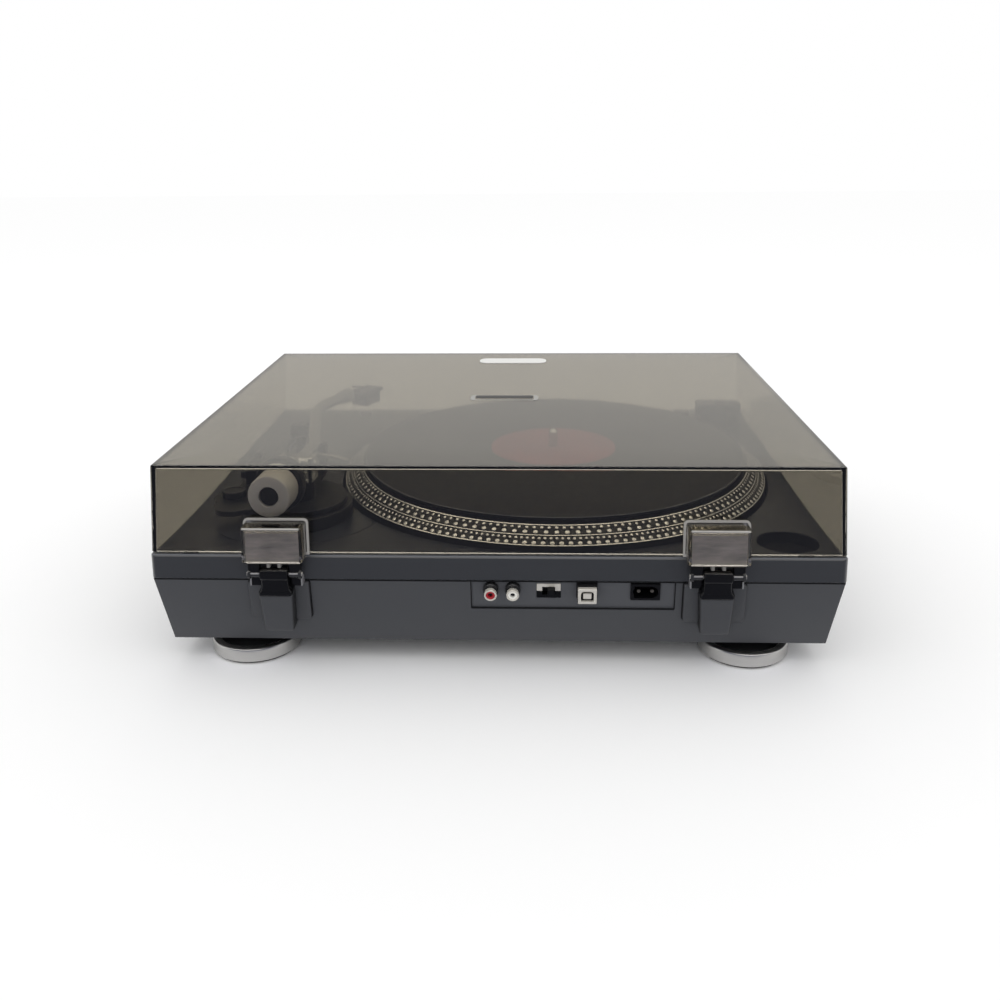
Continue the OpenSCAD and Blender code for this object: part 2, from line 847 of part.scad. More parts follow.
// Outer block of the cover, drawn in by an inset on every wall and at the top
module lid_block(inset, z0) {
    w = lid_w - 2 * inset;
    d = lid_d - 2 * inset;
    chamfer = max(lid_chamfer_min, lid_chamfer - inset);
    intersection() {
        translate([0, lid_mid_y, 0])
            leaning_block(w, d, w - 2 * lid_draft, d - 2 * lid_draft, z0, lid_top - inset, chamfer, 0);
        translate([0, lid_mid_y, z0 - over])
            linear_extrude(lid_h + 3 * over)
                rounded_plan(w, d, max(over, corner_r - inset));
    }
}

module dust_cover() {
    color("#6e675a", 0.45)
        difference() {
            lid_block(0, lid_z);
            lid_block(lid_wall, lid_z - over);
        }
}

module lid_pockets() {
    color("#5d574c", 0.5)
        difference() {
            each_hinge() {
                difference() {
                    union() {
                        translate([-pocket_w / 2, lid_rear_y - lid_wall, pocket_z])
                            cube([pocket_w, pocket_d + lid_wall, pocket_h]);
                        translate([-pocket_w / 2 - flange_lip, lid_rear_y - lid_wall, pocket_z])
                            cube([pocket_w + 2 * flange_lip, lid_wall + flange_t, pocket_h + flange_lip]);
                    }
                    translate([-pocket_w / 2 + pocket_wall, lid_rear_y - lid_wall - over, pocket_z - over])
                        cube([
                            pocket_w - 2 * pocket_wall,
                            pocket_d + lid_wall - pocket_wall + over,
                            pocket_h - pocket_wall + over
                        ]);
                }
            }
            lid_block(0, lid_z);
        }
}

module lid_bumpers() {
    color("#232323")
        for (sx = [-1, 1], sy = [-1, 1])
            translate([
                sx * (lid_w / 2 - bumper_in) - bumper_w / 2,
                lid_mid_y + sy * (lid_d - lid_wall) / 2 - bumper_d / 2,
                lid_z - bumper_h
            ])
                cube([bumper_w, bumper_d, bumper_h]);
}

module hinge_bases() {
    color("#121315")
        for (s = [-1, 1])
            on_rear(s * hinge_x)
                difference() {
                    union() {
                        translate([0, hinge_out, hinge_up])
                            along_x(knuckle_r, -knuckle_w / 2, knuckle_w / 2);
                        translate([-knuckle_w / 2, hinge_out - knuckle_r, house_top])
                            cube([knuckle_w, 2 * knuckle_r, hinge_up - house_top]);
                        translate([-house_w / 2 + shoulder_in, shoulder_out, house_top])
                            cube([house_w - 2 * shoulder_in, house_d - shoulder_out, shoulder_t]);
                        translate([-leg_w / 2, hinge_out - leg_t / 2, house_top - leg_h])
                            cube([leg_w, leg_t, leg_h + leg_lap]);
                    }
                    translate([0, hinge_out, hinge_up])
                        along_x(hinge_pin_r + run_fit, -knuckle_w, knuckle_w);
                }
}

module hinge_pins() {
    color("#a8a9ac")
        each_hinge()
            translate([0, hinge_y, hinge_z])
                along_x(hinge_pin_r, -leaf_w / 2 - pin_end, leaf_w / 2 + pin_end);
}

module hinge_leaves() {
    color("#3a3a3c")
        each_hinge()
            translate([0, hinge_y, 0])
                difference() {
                    union() {
                        translate([-leaf_w / 2, -leaf_t / 2, leaf_z])
                            cube([leaf_w, leaf_t, leaf_top - leaf_z]);
                        for (s = [-1, 1]) {
                            inner = knuckle_w / 2 + slide_fit;
                            x0 = s > 0 ? inner : -leaf_w / 2;
                            translate([0, 0, hinge_z])
                                along_x(barrel_r, x0, x0 + leaf_w / 2 - inner);
                            translate([x0, -leaf_t / 2, hinge_z])
                                cube([leaf_w / 2 - inner, leaf_t, leaf_z - hinge_z + leaf_lap]);
                        }
                    }
                    translate([0, 0, hinge_z])
                        along_x(hinge_pin_r + run_fit, -leaf_w, leaf_w);
                }
}

module connector_panel() {
    color("#434447")
        on_panel()
            difference() {
                translate([-panel_w / 2, -panel_t, -panel_h])
                    cube([panel_w, panel_t, panel_h - panel_top_gap]);
                for (i = [0, 1])
                    translate([jack_x + (i - 0.5) * jack_pitch, 0, jack_z])
                        along_y(jack_r + drop_fit, -panel_t - over, over);
                panel_slot(switch_x, connector_z, switch_w, switch_h);
                panel_slot(usb_x, usb_z, usb_size, usb_h);
                panel_slot(inlet_x, connector_z, inlet_w, inlet_h);
            }
}

// Rectangular opening in the connector panel
module panel_slot(x, z, w, h) {
    translate([x - w / 2 - drop_fit, -panel_t - over, z - h / 2 - drop_fit])
        cube([w + 2 * drop_fit, panel_t + 2 * over, h + 2 * drop_fit]);
}

// Place of one phono jack on the panel
module on_jack(i) {
    on_panel()
        translate([jack_x + (i - 0.5) * jack_pitch, 0, jack_z])
            children();
}

module jack_bodies() {
    color("#17171a")
        for (i = [0, 1])
            on_jack(i) {
                along_y(jack_r, -jack_body[0], jack_reach - jack_body[1]);
                along_y(jack_r - jack_core_in, -jack_core[0], jack_reach - jack_core[1]);
            }
}

module jack_shells() {
    color("#d5d2c8")
        for (i = [0, 1])
            on_jack(i)
                difference() {
                    along_y(jack_r - jack_shell_in, jack_cup_y, jack_reach);
                    along_y(jack_cup_r, jack_cup_y - over, jack_reach + over);
                }
}

// Coloured insulator inside one jack, with its contact hole
module jack_cup(i) {
    on_jack(i)
        difference() {
            along_y(jack_cup_r, jack_cup_y, jack_reach - jack_cup_sunk);
            along_y(jack_hole_r, jack_reach - jack_hole_end, jack_reach + over);
        }
}

module jack_cup_red() { color("#a8222c") jack_cup(1); }
module jack_cup_white() { color("#e8e6df") jack_cup(0); }

module switch_frame() {
    color("#c6c4bd")
        on_panel()
            translate([switch_x, 0, connector_z])
                difference() {
                    translate([-switch_w / 2, -switch_deep, -switch_h / 2])
                        cube([switch_w, switch_deep + switch_proud, switch_h]);
                    translate([
                        -(switch_knob_w + switch_travel) / 2 - slide_fit,
                        -switch_pocket,
                        -switch_h / 4 - slide_fit
                    ])
                        cube([
                            switch_knob_w + switch_travel + 2 * slide_fit,
                            switch_pocket + switch_proud + over,
                            switch_h / 2 + 2 * slide_fit
                        ]);
                }
}

module switch_slider() {
    color("#141416")
        on_panel()
            translate([
                switch_x - (switch_knob_w + switch_travel) / 2,
                -switch_pocket + slide_fit,
                connector_z - switch_h / 4
            ])
                cube([switch_knob_w, switch_knob_d, switch_h / 2]);
}

module usb_body() {
    color("#161618")
        on_panel()
            translate([usb_x - usb_size / 2, -usb_deep, usb_z - usb_h / 2])
                cube([usb_size, usb_deep + usb_out, usb_h]);
}

module usb_shell() {
    color("#dcd8c9")
        on_panel()
            translate([usb_x, usb_out, usb_z]) {
                difference() {
                    translate([-usb_size / 2 + usb_face_in, 0, -usb_h / 2 + usb_face_in])
                        cube([usb_size - 2 * usb_face_in, usb_face_t, usb_h - 2 * usb_face_in]);
                    translate([-usb_size / 2 + usb_mouth_in, usb_mouth_floor, -usb_h / 2 + usb_mouth_in])
                        cube([usb_size - 2 * usb_mouth_in, usb_face_t, usb_h - 2 * usb_mouth_in]);
                }
                translate([-usb_tongue.x / 2, usb_tongue_back, -usb_tongue.z / 2])
                    cube(usb_tongue);
            }
}

module mains_inlet() {
    color("#101012")
        on_panel()
            translate([inlet_x, 0, connector_z])
                difference() {
                    translate([-inlet_w / 2, -inlet_depth, -inlet_h / 2])
                        cube([inlet_w, inlet_depth + inlet_proud, inlet_h]);
                    for (s = [-1, 1])
                        translate([s * inlet_round, 0, 0])
                            along_y(inlet_h / 2 - inlet_wall, inlet_floor - inlet_depth, inlet_proud + over);
                    translate([-inlet_round, inlet_floor - inlet_depth, -inlet_h / 2 + inlet_wall])
                        cube([inlet_w / 2 + inlet_wall, inlet_depth, inlet_h - 2 * inlet_wall]);
                }
}

module inlet_pins() {
    color("#d8d6cf")
        on_panel()
            for (s = [-1, 1])
                translate([inlet_x + s * inlet_pin_x, 0, connector_z])
                    along_y(inlet_pin_r, inlet_floor - inlet_depth, 0);
}

// Platter: flat disc, slanted strobe band and a skirt that hangs into the well
module platter() {
    color("#77777a")
        translate([platter_x, plat_y, 0])
            rotate_extrude()
                polygon([
                    [spindle_r + run_fit, plat_under_z], [platter_r - skirt_t - skirt_slope, plat_under_z],
                    [platter_r - skirt_t, plat_under_z - skirt_slope], [platter_r - skirt_t, skirt_z],
                    [platter_r, skirt_z], [platter_r, strobe_z], [platter_top_r, plat_z],
                    [spindle_r + run_fit, plat_z]
                ]);
}

// Flat ring on the platter axis
module platter_ring(r_in, r_out, z0, z1) {
    translate([platter_x, plat_y, z0])
        difference() {
            cylinder(r = r_out, h = z1 - z0);
            translate([0, 0, -over])
                cylinder(r = r_in, h = z1 - z0 + 2 * over);
        }
}

module mat() {
    color("#1c1c1e")
        platter_ring(spindle_r + drop_fit, record_r - mat_in, plat_z, record_z);
}

module record() {
    color("#101012")
        difference() {
            platter_ring(spindle_r + run_fit, record_r, record_z, record_top);
            platter_ring(0, label_r + run_fit, record_top - label_t, record_top + over);
        }
}

module record_label() {
    color("#a34a52")
        platter_ring(spindle_r + run_fit, label_r, record_top - label_t, record_top);
}

module spindle() {
    foot = bearing_bottom + bearing_cap_t + thrust_gap;
    waist = spindle_r - spindle_groove_in;
    color("#c9cacc")
        translate([platter_x, plat_y, 0])
            rotate_extrude()
                polygon([
                    [0, foot], [shaft_r, foot], [shaft_r, hub_z], [hub_r, hub_z], [hub_r, plat_under_z],
                    [spindle_r, plat_under_z], [spindle_r, record_top], [waist, record_top],
                    [waist, record_top + spindle_groove], [spindle_r, record_top + spindle_groove],
                    [spindle_r, record_top + spindle_up - spindle_taper],
                    [spindle_r / 2, record_top + spindle_up], [0, record_top + spindle_up]
                ]);
}

module rotor_magnet() {
    color("#35353a")
        platter_ring(magnet_in_r, magnet_out_r, coil_top + rotor_gap, plat_under_z);
}

module bearing() {
    color("#b08d4a")
        translate([platter_x, plat_y, 0])
            rotate_extrude()
                polygon([
                    [0, bearing_bottom], [bearing_r, bearing_bottom], [bearing_r, well_z],
                    [bearing_flange_r, well_z], [bearing_flange_r, well_z + bearing_flange_t],
                    [shaft_r + run_fit, well_z + bearing_flange_t],
                    [shaft_r + run_fit, bearing_bottom + bearing_cap_t], [0, bearing_bottom + bearing_cap_t]
                ]);
}

module motor_board() {
    color("#2f5a3a")
        platter_ring(bearing_flange_r + drop_fit, board_r, well_z, well_z + board_t);
}

module stator_coils() {
    color("#a9642c")
        for (i = [0 : coil_count - 1])
            rotate_about_spindle(i * 360 / coil_count)
                translate([coil_ring_r, 0, well_z + board_t])
                    difference() {
                        cylinder(r = coil_r, h = coil_h);
                        translate([0, 0, -over])
                            cylinder(r = coil_hole_r, h = coil_h + 2 * over);
                    }
}

// Turned about the spindle axis
module rotate_about_spindle(a) {
    translate([platter_x, plat_y, 0])
        rotate([0, 0, a])
            children();
}

module main_board() {
    z = base_z + floor_t + main_board_lift;
    color("#2f5a3a")
        translate([main_board_at.x, main_board_at.y, z]) {
            translate([-main_board_size.x / 2, -main_board_size.y / 2, 0])
                cube([main_board_size.x, main_board_size.y, board_t]);
            for (i = [0 : 2])
                translate([capacitor_at.x + i * capacitor_pitch, capacitor_at.y, board_t])
                    cylinder(r = capacitor_r, h = capacitor_h);
            translate([sink_at.x, sink_at.y, board_t])
                cube(sink_size);
            translate([transformer_at.x, transformer_at.y, board_t])
                translate([-transformer_size.x / 2, -transformer_size.y / 2, 0])
                    cube(transformer_size);
        }
}

module control_board() {
    color("#2f5a3a")
        translate([control_board_at.x, control_board_at.y, control_board_z])
            translate([-control_board_size.x / 2, -control_board_size.y / 2, 0])
                cube([control_board_size.x, control_board_size.y, board_t]);
}

// Frame on the arm pivot, at deck level
module on_pivot() {
    translate([arm_x, arm_y, 0])
        children();
}

// Frame on the parked arm: origin at the pivot on the arm axis, arm pointing to -Y
module on_arm() {
    translate([arm_x, arm_y, arm_z])
        rotate([0, 0, -park_angle])
            children();
}

// Frame on the headshell: origin above the stylus, forward along -Y
module on_head() {
    on_arm()
        translate([0, -arm_length, 0])
            rotate([0, 0, -arm_offset])
                children();
}

module arm_mount() {
    color("#1b1b1e")
        on_pivot()
            translate([0, 0, deck_z])
                difference() {
                    cylinder(r = core_r, h = height_ring_h - plate_gap);
                    translate([0, 0, -over])
                        cylinder(r = core_bore_r + run_fit, h = height_ring_h + 2 * over);
                }
}

module height_ring() {
    color("#222226")
        on_pivot()
            difference() {
                translate([0, 0, deck_z + ring_float])
                    cylinder(r = height_ring_r, h = height_ring_h - ring_float);
                translate([0, 0, deck_z - over])
                    cylinder(r = core_r + run_fit, h = height_ring_h + 3 * over);
            }
}

// Outline of the arm plate with its side lobe and its forward tongue
module arm_plate_plan() {
    circle(plate_r);
    translate(skate_at) circle(lobe_r);
    translate(lobe_at) circle(lobe_r);
    polygon([
        [0, plate_r - plate_dip[0]], [lobe_at.x, lobe_at.y + lobe_r - lobe_trim[0]],
        [lobe_at.x + lobe_r - lobe_trim[0], lobe_at.y], [skate_at.x + lobe_r - lobe_trim[1], skate_at.y],
        [skate_at.x, skate_at.y - lobe_r + lobe_trim[1]], [0, -plate_r + plate_dip[1]]
    ]);
    translate([-rest_arm.y, -rest_dist - tongue_over])
        square([rest_arm.x + rest_arm.y + tongue_side, rest_dist - plate_r + tongue_lap]);
    translate([lever_at.x - lever_block / 2 - lever_pad_at.x, lever_at.y - lever_pad_at.y])
        square([lever_block + lever_pad.x, lever_pad.y]);
}

module arm_plate() {
    bar_top = arm_z - tube_r - slide_fit;
    color("#19191c")
        on_pivot()
            difference() {
                union() {
                    translate([0, 0, plate_z])
                        linear_extrude(plate_t)
                            arm_plate_plan();
                    translate([0, 0, deck_z + plate_float])
                        cylinder(r = core_bore_r, h = plate_z - deck_z);
                    translate([0, 0, plate_top - lap])
                        cylinder(r = pillar_r, h = pillar_top - plate_top + lap);
                    translate([rest_arm.x, -rest_dist, plate_top - lap])
                        cylinder(r = rest_post_r, h = arm_z - plate_top + rest_post_up);
                    translate([-rest_arm.y, -rest_dist - rest_bar[0] / 2, bar_top - rest_bar[1]])
                        cube([rest_arm.x + rest_arm.y, rest_bar[0], rest_bar[1]]);
                    translate([-rest_arm.y, -rest_dist - rest_bar[0] / 2, plate_top - lap])
                        cube([rest_leg, rest_bar[0], bar_top - plate_top]);
                    translate([lever_at.x - lever_block / 2, lever_at.y - lever_block_d / 2, plate_top - lap])
                        cube([lever_block, lever_block_d, lever_z - plate_top + lever_block_up]);
                }
                translate([0, 0, pillar_top - spigot_h - spigot_slack])
                    cylinder(r = spigot_r + run_fit, h = spigot_h + 2 * over);
                translate([skate_at.x, skate_at.y, plate_z - over])
                    cylinder(r = skate_pin_r + run_fit, h = plate_t + 2 * over);
                rotate([0, 0, lift_start])
                    translate([0, -lift_r, plate_z - over])
                        cylinder(r = lift_pin_r + run_fit, h = plate_t + 2 * over);
                translate([0, lever_at.y, lever_z])
                    along_x(lever_pin_r + run_fit, lever_at.x - lever_block, lever_at.x + lever_block);
            }
}

module anti_skate_dial() {
    color("#202024")
        on_pivot()
            translate([skate_at.x, skate_at.y, 0]) {
                translate([0, 0, plate_top + skate_gap])
                    cylinder(r = skate_r, h = skate_h);
                translate([0, 0, plate_z])
                    cylinder(r = skate_pin_r, h = plate_t + skate_gap + lap);
            }
}

module cue_lever() {
    reach = lever_at.x + lever_block / 2 + slide_fit;
    color("#26262a")
        on_pivot()
            translate([0, lever_at.y, lever_z]) {
                along_x(lever_pin_r, lever_at.x - lever_block / 2, reach + lap);
                along_x(lever_pin_r + lever_collar, reach, reach + lever_collar_w);
                translate([reach + lever_collar_w / 2, 0, 0]) {
                    along_y(lever_r - lever_slim, -lever_len, 0);
                    along_y(lever_r + lever_swell, -lever_len - lever_tip, -lever_len);
                }
            }
}

module arm_lift() {
    color("#2a2a2e")
        on_pivot() {
            translate([0, 0, lift_top - lift_bar])
                rotate([0, 0, lift_start - 90 - lift_sweep])
                    rotate_extrude(angle = lift_sweep)
                        translate([lift_r - lift_bar_w / 2, 0])
                            square([lift_bar_w, lift_bar]);
            rotate([0, 0, lift_start])
                translate([0, -lift_r, plate_z])
                    cylinder(r = lift_pin_r, h = lift_top - plate_z - lap);
        }
}

module gimbal_yoke() {
    color("#b5b5b6")
        on_arm()
            difference() {
                union() {
                    translate([0, 0, pillar_top - arm_z + swing_gap])
                        cylinder(r = pillar_r, h = yoke_t);
                    translate([0, 0, pillar_top - arm_z - spigot_h])
                        cylinder(r = spigot_r, h = spigot_h + swing_gap + lap);
                    for (s = [0, 180])
                        rotate([0, 0, s])
                            translate([yoke_in, -yoke_deep / 2, pillar_top - arm_z + swing_gap])
                                cube([yoke_wall, yoke_deep, arm_z - pillar_top + yoke_h]);
                }
                along_x(pivot_screw_r + run_fit, -2 * yoke_in, 2 * yoke_in);
            }
}

module pivot_screws() {
    color("#d6d6d8")
        on_arm()
            for (s = [0, 180])
                rotate([0, 0, s]) {
                    along_x(pivot_screw_r, hub_half - pivot_screw_in, yoke_in + yoke_wall + lap);
                    translate([yoke_in + yoke_wall, 0, 0])
                        along_x(pivot_screw_r + pivot_head[0], 0, pivot_head[1]);
                }
}

// S shaped tube in the plane of the arm axis, with its pivot hub and its rear shaft
module arm_tube() {
    color("#b9babc")
        on_arm()
            difference() {
                union() {
                    along_y(tube_r, -arm_straight - bend_lap, tube_back);
                    along_y(rear_shaft_r, tube_back - shaft_lap, shaft_len);
                    along_x(tube_r + hub_extra, -hub_half, hub_half);
                    translate([bend_r, -arm_straight, 0])
                        rotate([0, 0, 180])
                            rotate_extrude(angle = arm_out)
                                translate([bend_r, 0])
                                    circle(tube_r - bend_slim);
                    translate([bend_1.x, bend_1.y, 0])
                        rotate([0, 0, arm_out])
                            along_y(tube_r, -middle_run - bend_lap, bend_lap);
                    translate([bend_2_mid.x, bend_2_mid.y, 0])
                        rotate([0, 0, -arm_offset])
                            rotate_extrude(angle = arm_out + arm_offset)
                                translate([bend_r, 0])
                                    circle(tube_r - bend_slim);
                    translate([bend_3.x, bend_3.y, 0])
                        rotate([0, 0, -arm_offset])
                            along_y(tube_r, -(head_run - head_len), bend_lap);
                }
                for (s = [0, 180])
                    rotate([0, 0, s])
                        along_x(pivot_screw_r + run_fit, pivot_hole_x, 2 * hub_half);
            }
}

module shaft_cap() {
    color("#161618")
        on_arm()
            along_y(cap_r, shaft_len, shaft_len + cap_len);
}

module counterweight() {
    back = weight_back + weight_len;
    color("#a9a499")
        on_arm()
            difference() {
                along_y(weight_r, weight_back, back);
                along_y(rear_shaft_r + run_fit, weight_back - over, back + over);
                along_y(cap_r + slide_fit, shaft_len - slide_fit, back + over);
            }
}

module force_dial() {
    color("#9b968b")
        on_arm()
            difference() {
                along_y(dial_r, weight_back - dial_len - slide_fit, weight_back - slide_fit);
                along_y(rear_shaft_r + run_fit, weight_back - 2 * dial_len, weight_back + over);
            }
}

module head_collar() {
    color("#aeb0b2")
        on_head()
            difference() {
                along_y(collar_r, head_len - collar_len + collar_lap, head_len + collar_lap);
                along_y(tube_r + run_fit, head_len - run_fit, head_len + collar_len);
                along_y(neck_r + run_fit, head_len - collar_len, head_len + over);
            }
}

module headshell() {
    color("#303034")
        on_head()
            difference() {
                union() {
                    along_y(neck_r, head_back - neck_lap, head_len - run_fit);
                    translate([0, 0, head_top - arm_z - head_t])
                        linear_extrude(head_t)
                            polygon([
                                [-head_w / 2, -head_front], [head_w / 2, -head_front],
                                [head_w / 2, head_back - head_shoulder], [neck_r + over, head_back],
                                [-neck_r - over, head_back], [-head_w / 2, head_back - head_shoulder]
                            ]);
                    translate([0, finger_back, head_top - arm_z - head_t / 2])
                        along_x(finger_r, head_w / 2 - over, head_w / 2 + finger_len);
                }
                for (s = [-1, 1])
                    translate([s * head_slot_x - head_slot[0] / 2, -head_slot_front, -3 * head_t])
                        cube([head_slot[0], head_slot[1], 6 * head_t]);
            }
}

module cartridge() {
    under = head_top - arm_z - head_t;
    color("#1d1d20")
        on_head() {
            translate([-cartridge_w / 2, -cartridge_front, under - cartridge_h])
                cube([cartridge_w, cartridge_d, cartridge_h]);
            for (s = [-1, 1])
                translate([s * contact_x, cartridge_d - cartridge_front, under - cartridge_h / 2])
                    along_y(contact_r, -lap, contact_len);
        }
}

module stylus() {
    under = head_top - arm_z - head_t - cartridge_h;
    tip = record_top + stylus_gap - arm_z;
    color("#c33a2c")
        on_head() {
            translate([-stylus_w / 2, -stylus_front, under - stylus_t])
                cube([stylus_w, stylus_front - cartridge_front, stylus_h]);
            translate([-stylus_w / 2, -stylus_front, under - stylus_t])
                cube([stylus_w, stylus_d, stylus_t]);
            translate([0, 0, tip])
                cylinder(r1 = needle_r[0], r2 = needle_r[1], h = under - stylus_t + needle_lap - tip);
        }
}

module strobe_tower() {
    color("#28282b")
        translate([tower_at.x, tower_at.y, deck_z])
            difference() {
                union() {
                    cylinder(r = tower_r, h = tower_h - tower_step);
                    translate([0, -tower_box.y / 2, 0])
                        cube([tower_box.x, tower_box.y, tower_h]);
                }
                translate([0, 0, tower_h - tower_step])
                    cylinder(r = tower_r + slide_fit, h = tower_h);
                translate([0, 0, -over])
                    cylinder(r = knob_pin_r + run_fit, h = tower_h);
                translate([tower_box.x - window_depth, -tower_box.y / 3, tower_h / 4])
                    cube([2 * window_depth, 2 * tower_box.y / 3, tower_h / 2]);
            }
}

module power_knob() {
    color("#2f2f33")
        translate([tower_at.x, tower_at.y, deck_z]) {
            translate([0, 0, tower_h - tower_step + knob_gap])
                cylinder(r = power_r, h = knob_h);
            translate([0, 0, knob_pin_z])
                cylinder(r = knob_pin_r, h = tower_h - tower_step + knob_gap + lap - knob_pin_z);
        }
}

// Push button standing proud of the deck
module push_button(at, w, d) {
    translate([at.x - w / 2, at.y - d / 2, deck_z - button_deep])
        cube([w, d, button_deep + button_rise]);
}

module start_button() { color("#8f8f92") push_button(start_at, start_w, start_d); }
module speed_button_33() { color("#8f8f92") push_button(speed_at, speed_w, speed_d); }
module speed_button_45() { color("#8f8f92") push_button(speed_at + [speed_pitch, 0], speed_w, speed_d); }

module pitch_knob() {
    color("#2a2a2d")
        translate([fader_at.x, fader_at.y, deck_z]) {
            translate([-fader_cap.x / 2, -fader_cap.y / 2, fader_float])
                cube(fader_cap);
            translate([-fader_slot / 2, -fader_stem / 2, -deck_t - fader_stem_end])
                cube([fader_slot, fader_stem, deck_t + fader_stem_end + fader_float + lap]);
        }
}

module fader_body() {
    color("#9a9a9c")
        translate([fader_at.x, fader_at.y, deck_z - deck_t])
            difference() {
                translate([-fader_box.x / 2, -fader_run / 2 - fader_end, -fader_box.y])
                    cube([fader_box.x, fader_run + 2 * fader_end, fader_box.y]);
                translate([-fader_slot / 2 - slide_fit, -fader_run / 2, -fader_box.y / 2])
                    cube([fader_slot + 2 * slide_fit, fader_run, fader_box.y]);
            }
}

module pop_up_lamp() {
    color("#9d9ea1")
        translate([lamp_at.x, lamp_at.y, deck_z - lamp_guide])
            difference() {
                cylinder(r = lamp_r, h = lamp_guide + lamp_proud);
                translate([-lamp_r - over, lamp_r - lamp_window[0], lamp_guide - lamp_window_top])
                    cube([2 * lamp_r + 2 * over, lamp_r, lamp_window[1]]);
            }
}

plinth_base();
deck();
case_screws();
foot_front_left();
foot_front_right();
foot_rear_left();
foot_rear_right();
dust_cover();
lid_pockets();
lid_bumpers();
hinge_housings();
hinge_bases();
hinge_pins();
hinge_leaves();
connector_panel();
jack_bodies();
jack_shells();
jack_cup_red();
jack_cup_white();
switch_frame();
switch_slider();
usb_body();
usb_shell();
mains_inlet();
inlet_pins();
platter();
mat();
record();
record_label();
spindle();
rotor_magnet();
bearing();
motor_board();
stator_coils();
main_board();
control_board();
arm_mount();
height_ring();
arm_plate();
anti_skate_dial();
cue_lever();
arm_lift();
gimbal_yoke();
pivot_screws();
arm_tube();
shaft_cap();
counterweight();
force_dial();
head_collar();
headshell();
cartridge();
stylus();
strobe_tower();
power_knob();
start_button();
speed_button_33();
speed_button_45();
pitch_knob();
fader_body();
pop_up_lamp();
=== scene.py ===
"""Finished pieces, materials, light and camera for a direct drive turntable with a smoked cover."""

import math

import bmesh
import bpy
import numpy as np
from bpy.props import FloatProperty, FloatVectorProperty, IntProperty, PointerProperty
from mathutils import Matrix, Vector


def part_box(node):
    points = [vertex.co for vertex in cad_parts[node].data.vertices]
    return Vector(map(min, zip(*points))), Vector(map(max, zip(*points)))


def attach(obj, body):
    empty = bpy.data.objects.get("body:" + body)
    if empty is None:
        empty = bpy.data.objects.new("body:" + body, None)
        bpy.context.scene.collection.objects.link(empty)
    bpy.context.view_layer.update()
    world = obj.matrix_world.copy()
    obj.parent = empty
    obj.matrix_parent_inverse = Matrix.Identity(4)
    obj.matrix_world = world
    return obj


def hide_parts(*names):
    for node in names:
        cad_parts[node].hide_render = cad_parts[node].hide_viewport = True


bl_info = {
    "name": "Direct drive turntable",
    "version": (1, 0, 0),
    "blender": (4, 5, 0),
    "location": "3D View > Sidebar > Turntable",
    "description": "Gives the turntable's solids their finished pieces and materials",
    "category": "Object",
}

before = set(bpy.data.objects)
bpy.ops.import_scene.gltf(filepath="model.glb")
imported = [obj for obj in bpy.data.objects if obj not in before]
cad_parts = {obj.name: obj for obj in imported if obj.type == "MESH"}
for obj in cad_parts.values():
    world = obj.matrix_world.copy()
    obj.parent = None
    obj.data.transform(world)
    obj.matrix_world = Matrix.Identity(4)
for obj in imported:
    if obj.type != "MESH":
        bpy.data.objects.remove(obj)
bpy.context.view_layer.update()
MM = 0.001
# The rear wall leans in by 8 mm over its 46 mm
DRAFT = math.atan(8.0 / 46.0)
# Flat pads on the rear wall behind the hinge housings, in millimetres
PAD_WIDE, PAD_TALL, PAD_DROP = 40.0, 28.0, 15.0


# Surfaces worked out as whole arrays

def quads(rings, around, closed_rings=False):
    """Faces of a grid of rings that each close on themselves: corner, next along, next ring, ring above."""
    last = rings if closed_rings else rings - 1
    i, j = np.meshgrid(np.arange(last), np.arange(around), indexing="ij")
    up = (i + 1) % rings
    on = (j + 1) % around
    return np.stack([i * around + j, i * around + on, up * around + on, up * around + j], -1).reshape(-1, 4)


def capped(rings, around):
    """Faces of a grid of rings, with the first and the last ring closed flat."""
    caps = [list(range(around))[::-1], list(range((rings - 1) * around, rings * around))]
    return quads(rings, around).tolist() + caps


def soften(points, reach, steps=4):
    """Rounds the corners of an open outline: near each corner B the line follows the curve
    (1-t)^2 A + 2t(1-t) B + t^2 C, where A and C lie a reach from B, or half a side if that is less."""
    p = np.asarray(points, float)
    b = p[1:-1]
    before = p[:-2] - b
    after = p[2:] - b
    reach = np.broadcast_to(np.asarray(reach, float), (len(b),))[:, None]
    lb = np.linalg.norm(before, axis=1, keepdims=True)
    la = np.linalg.norm(after, axis=1, keepdims=True)
    a = b + before / lb * np.minimum(reach, lb * 0.49)
    c = b + after / la * np.minimum(reach, la * 0.49)
    t = np.linspace(0, 1, steps + 1)[None, :, None]
    curve = (1 - t) ** 2 * a[:, None] + 2 * t * (1 - t) * b[:, None] + t ** 2 * c[:, None]
    return np.concatenate([p[:1], curve.reshape(-1, 2), p[-1:]])


def turned(profile, around=128, ripple=None):
    """Turned surface: each point (radius, height) of the profile goes round the Z axis,
    x = r cos a, y = r sin a, z = h. A ripple adds its value at (a, point) to the radius."""
    p = np.asarray(profile, float)
    a = np.arange(around) * 2 * np.pi / around
    r = np.repeat(p[:, :1], around, 1)
    if ripple is not None:
        r = r + ripple(a[None, :], np.arange(len(p))[:, None])
    h = np.repeat(p[:, 1:], around, 1)
    return np.stack([r * np.cos(a), r * np.sin(a), h], -1).reshape(-1, 3), quads(len(p), around)


def looped(profile, around=128, ripple=None):
    """Turned ring: as turned, with the profile's last point joined to its first."""
    v, _ = turned(profile, around, ripple)
    return v, quads(len(profile), around, True)


def knurl(depth, count, first, last):
    """Ripple for a turned piece: depth times cos(count a) between two points of the profile."""
    return lambda a, i: depth * np.cos(count * a) * ((i > first) & (i < last))


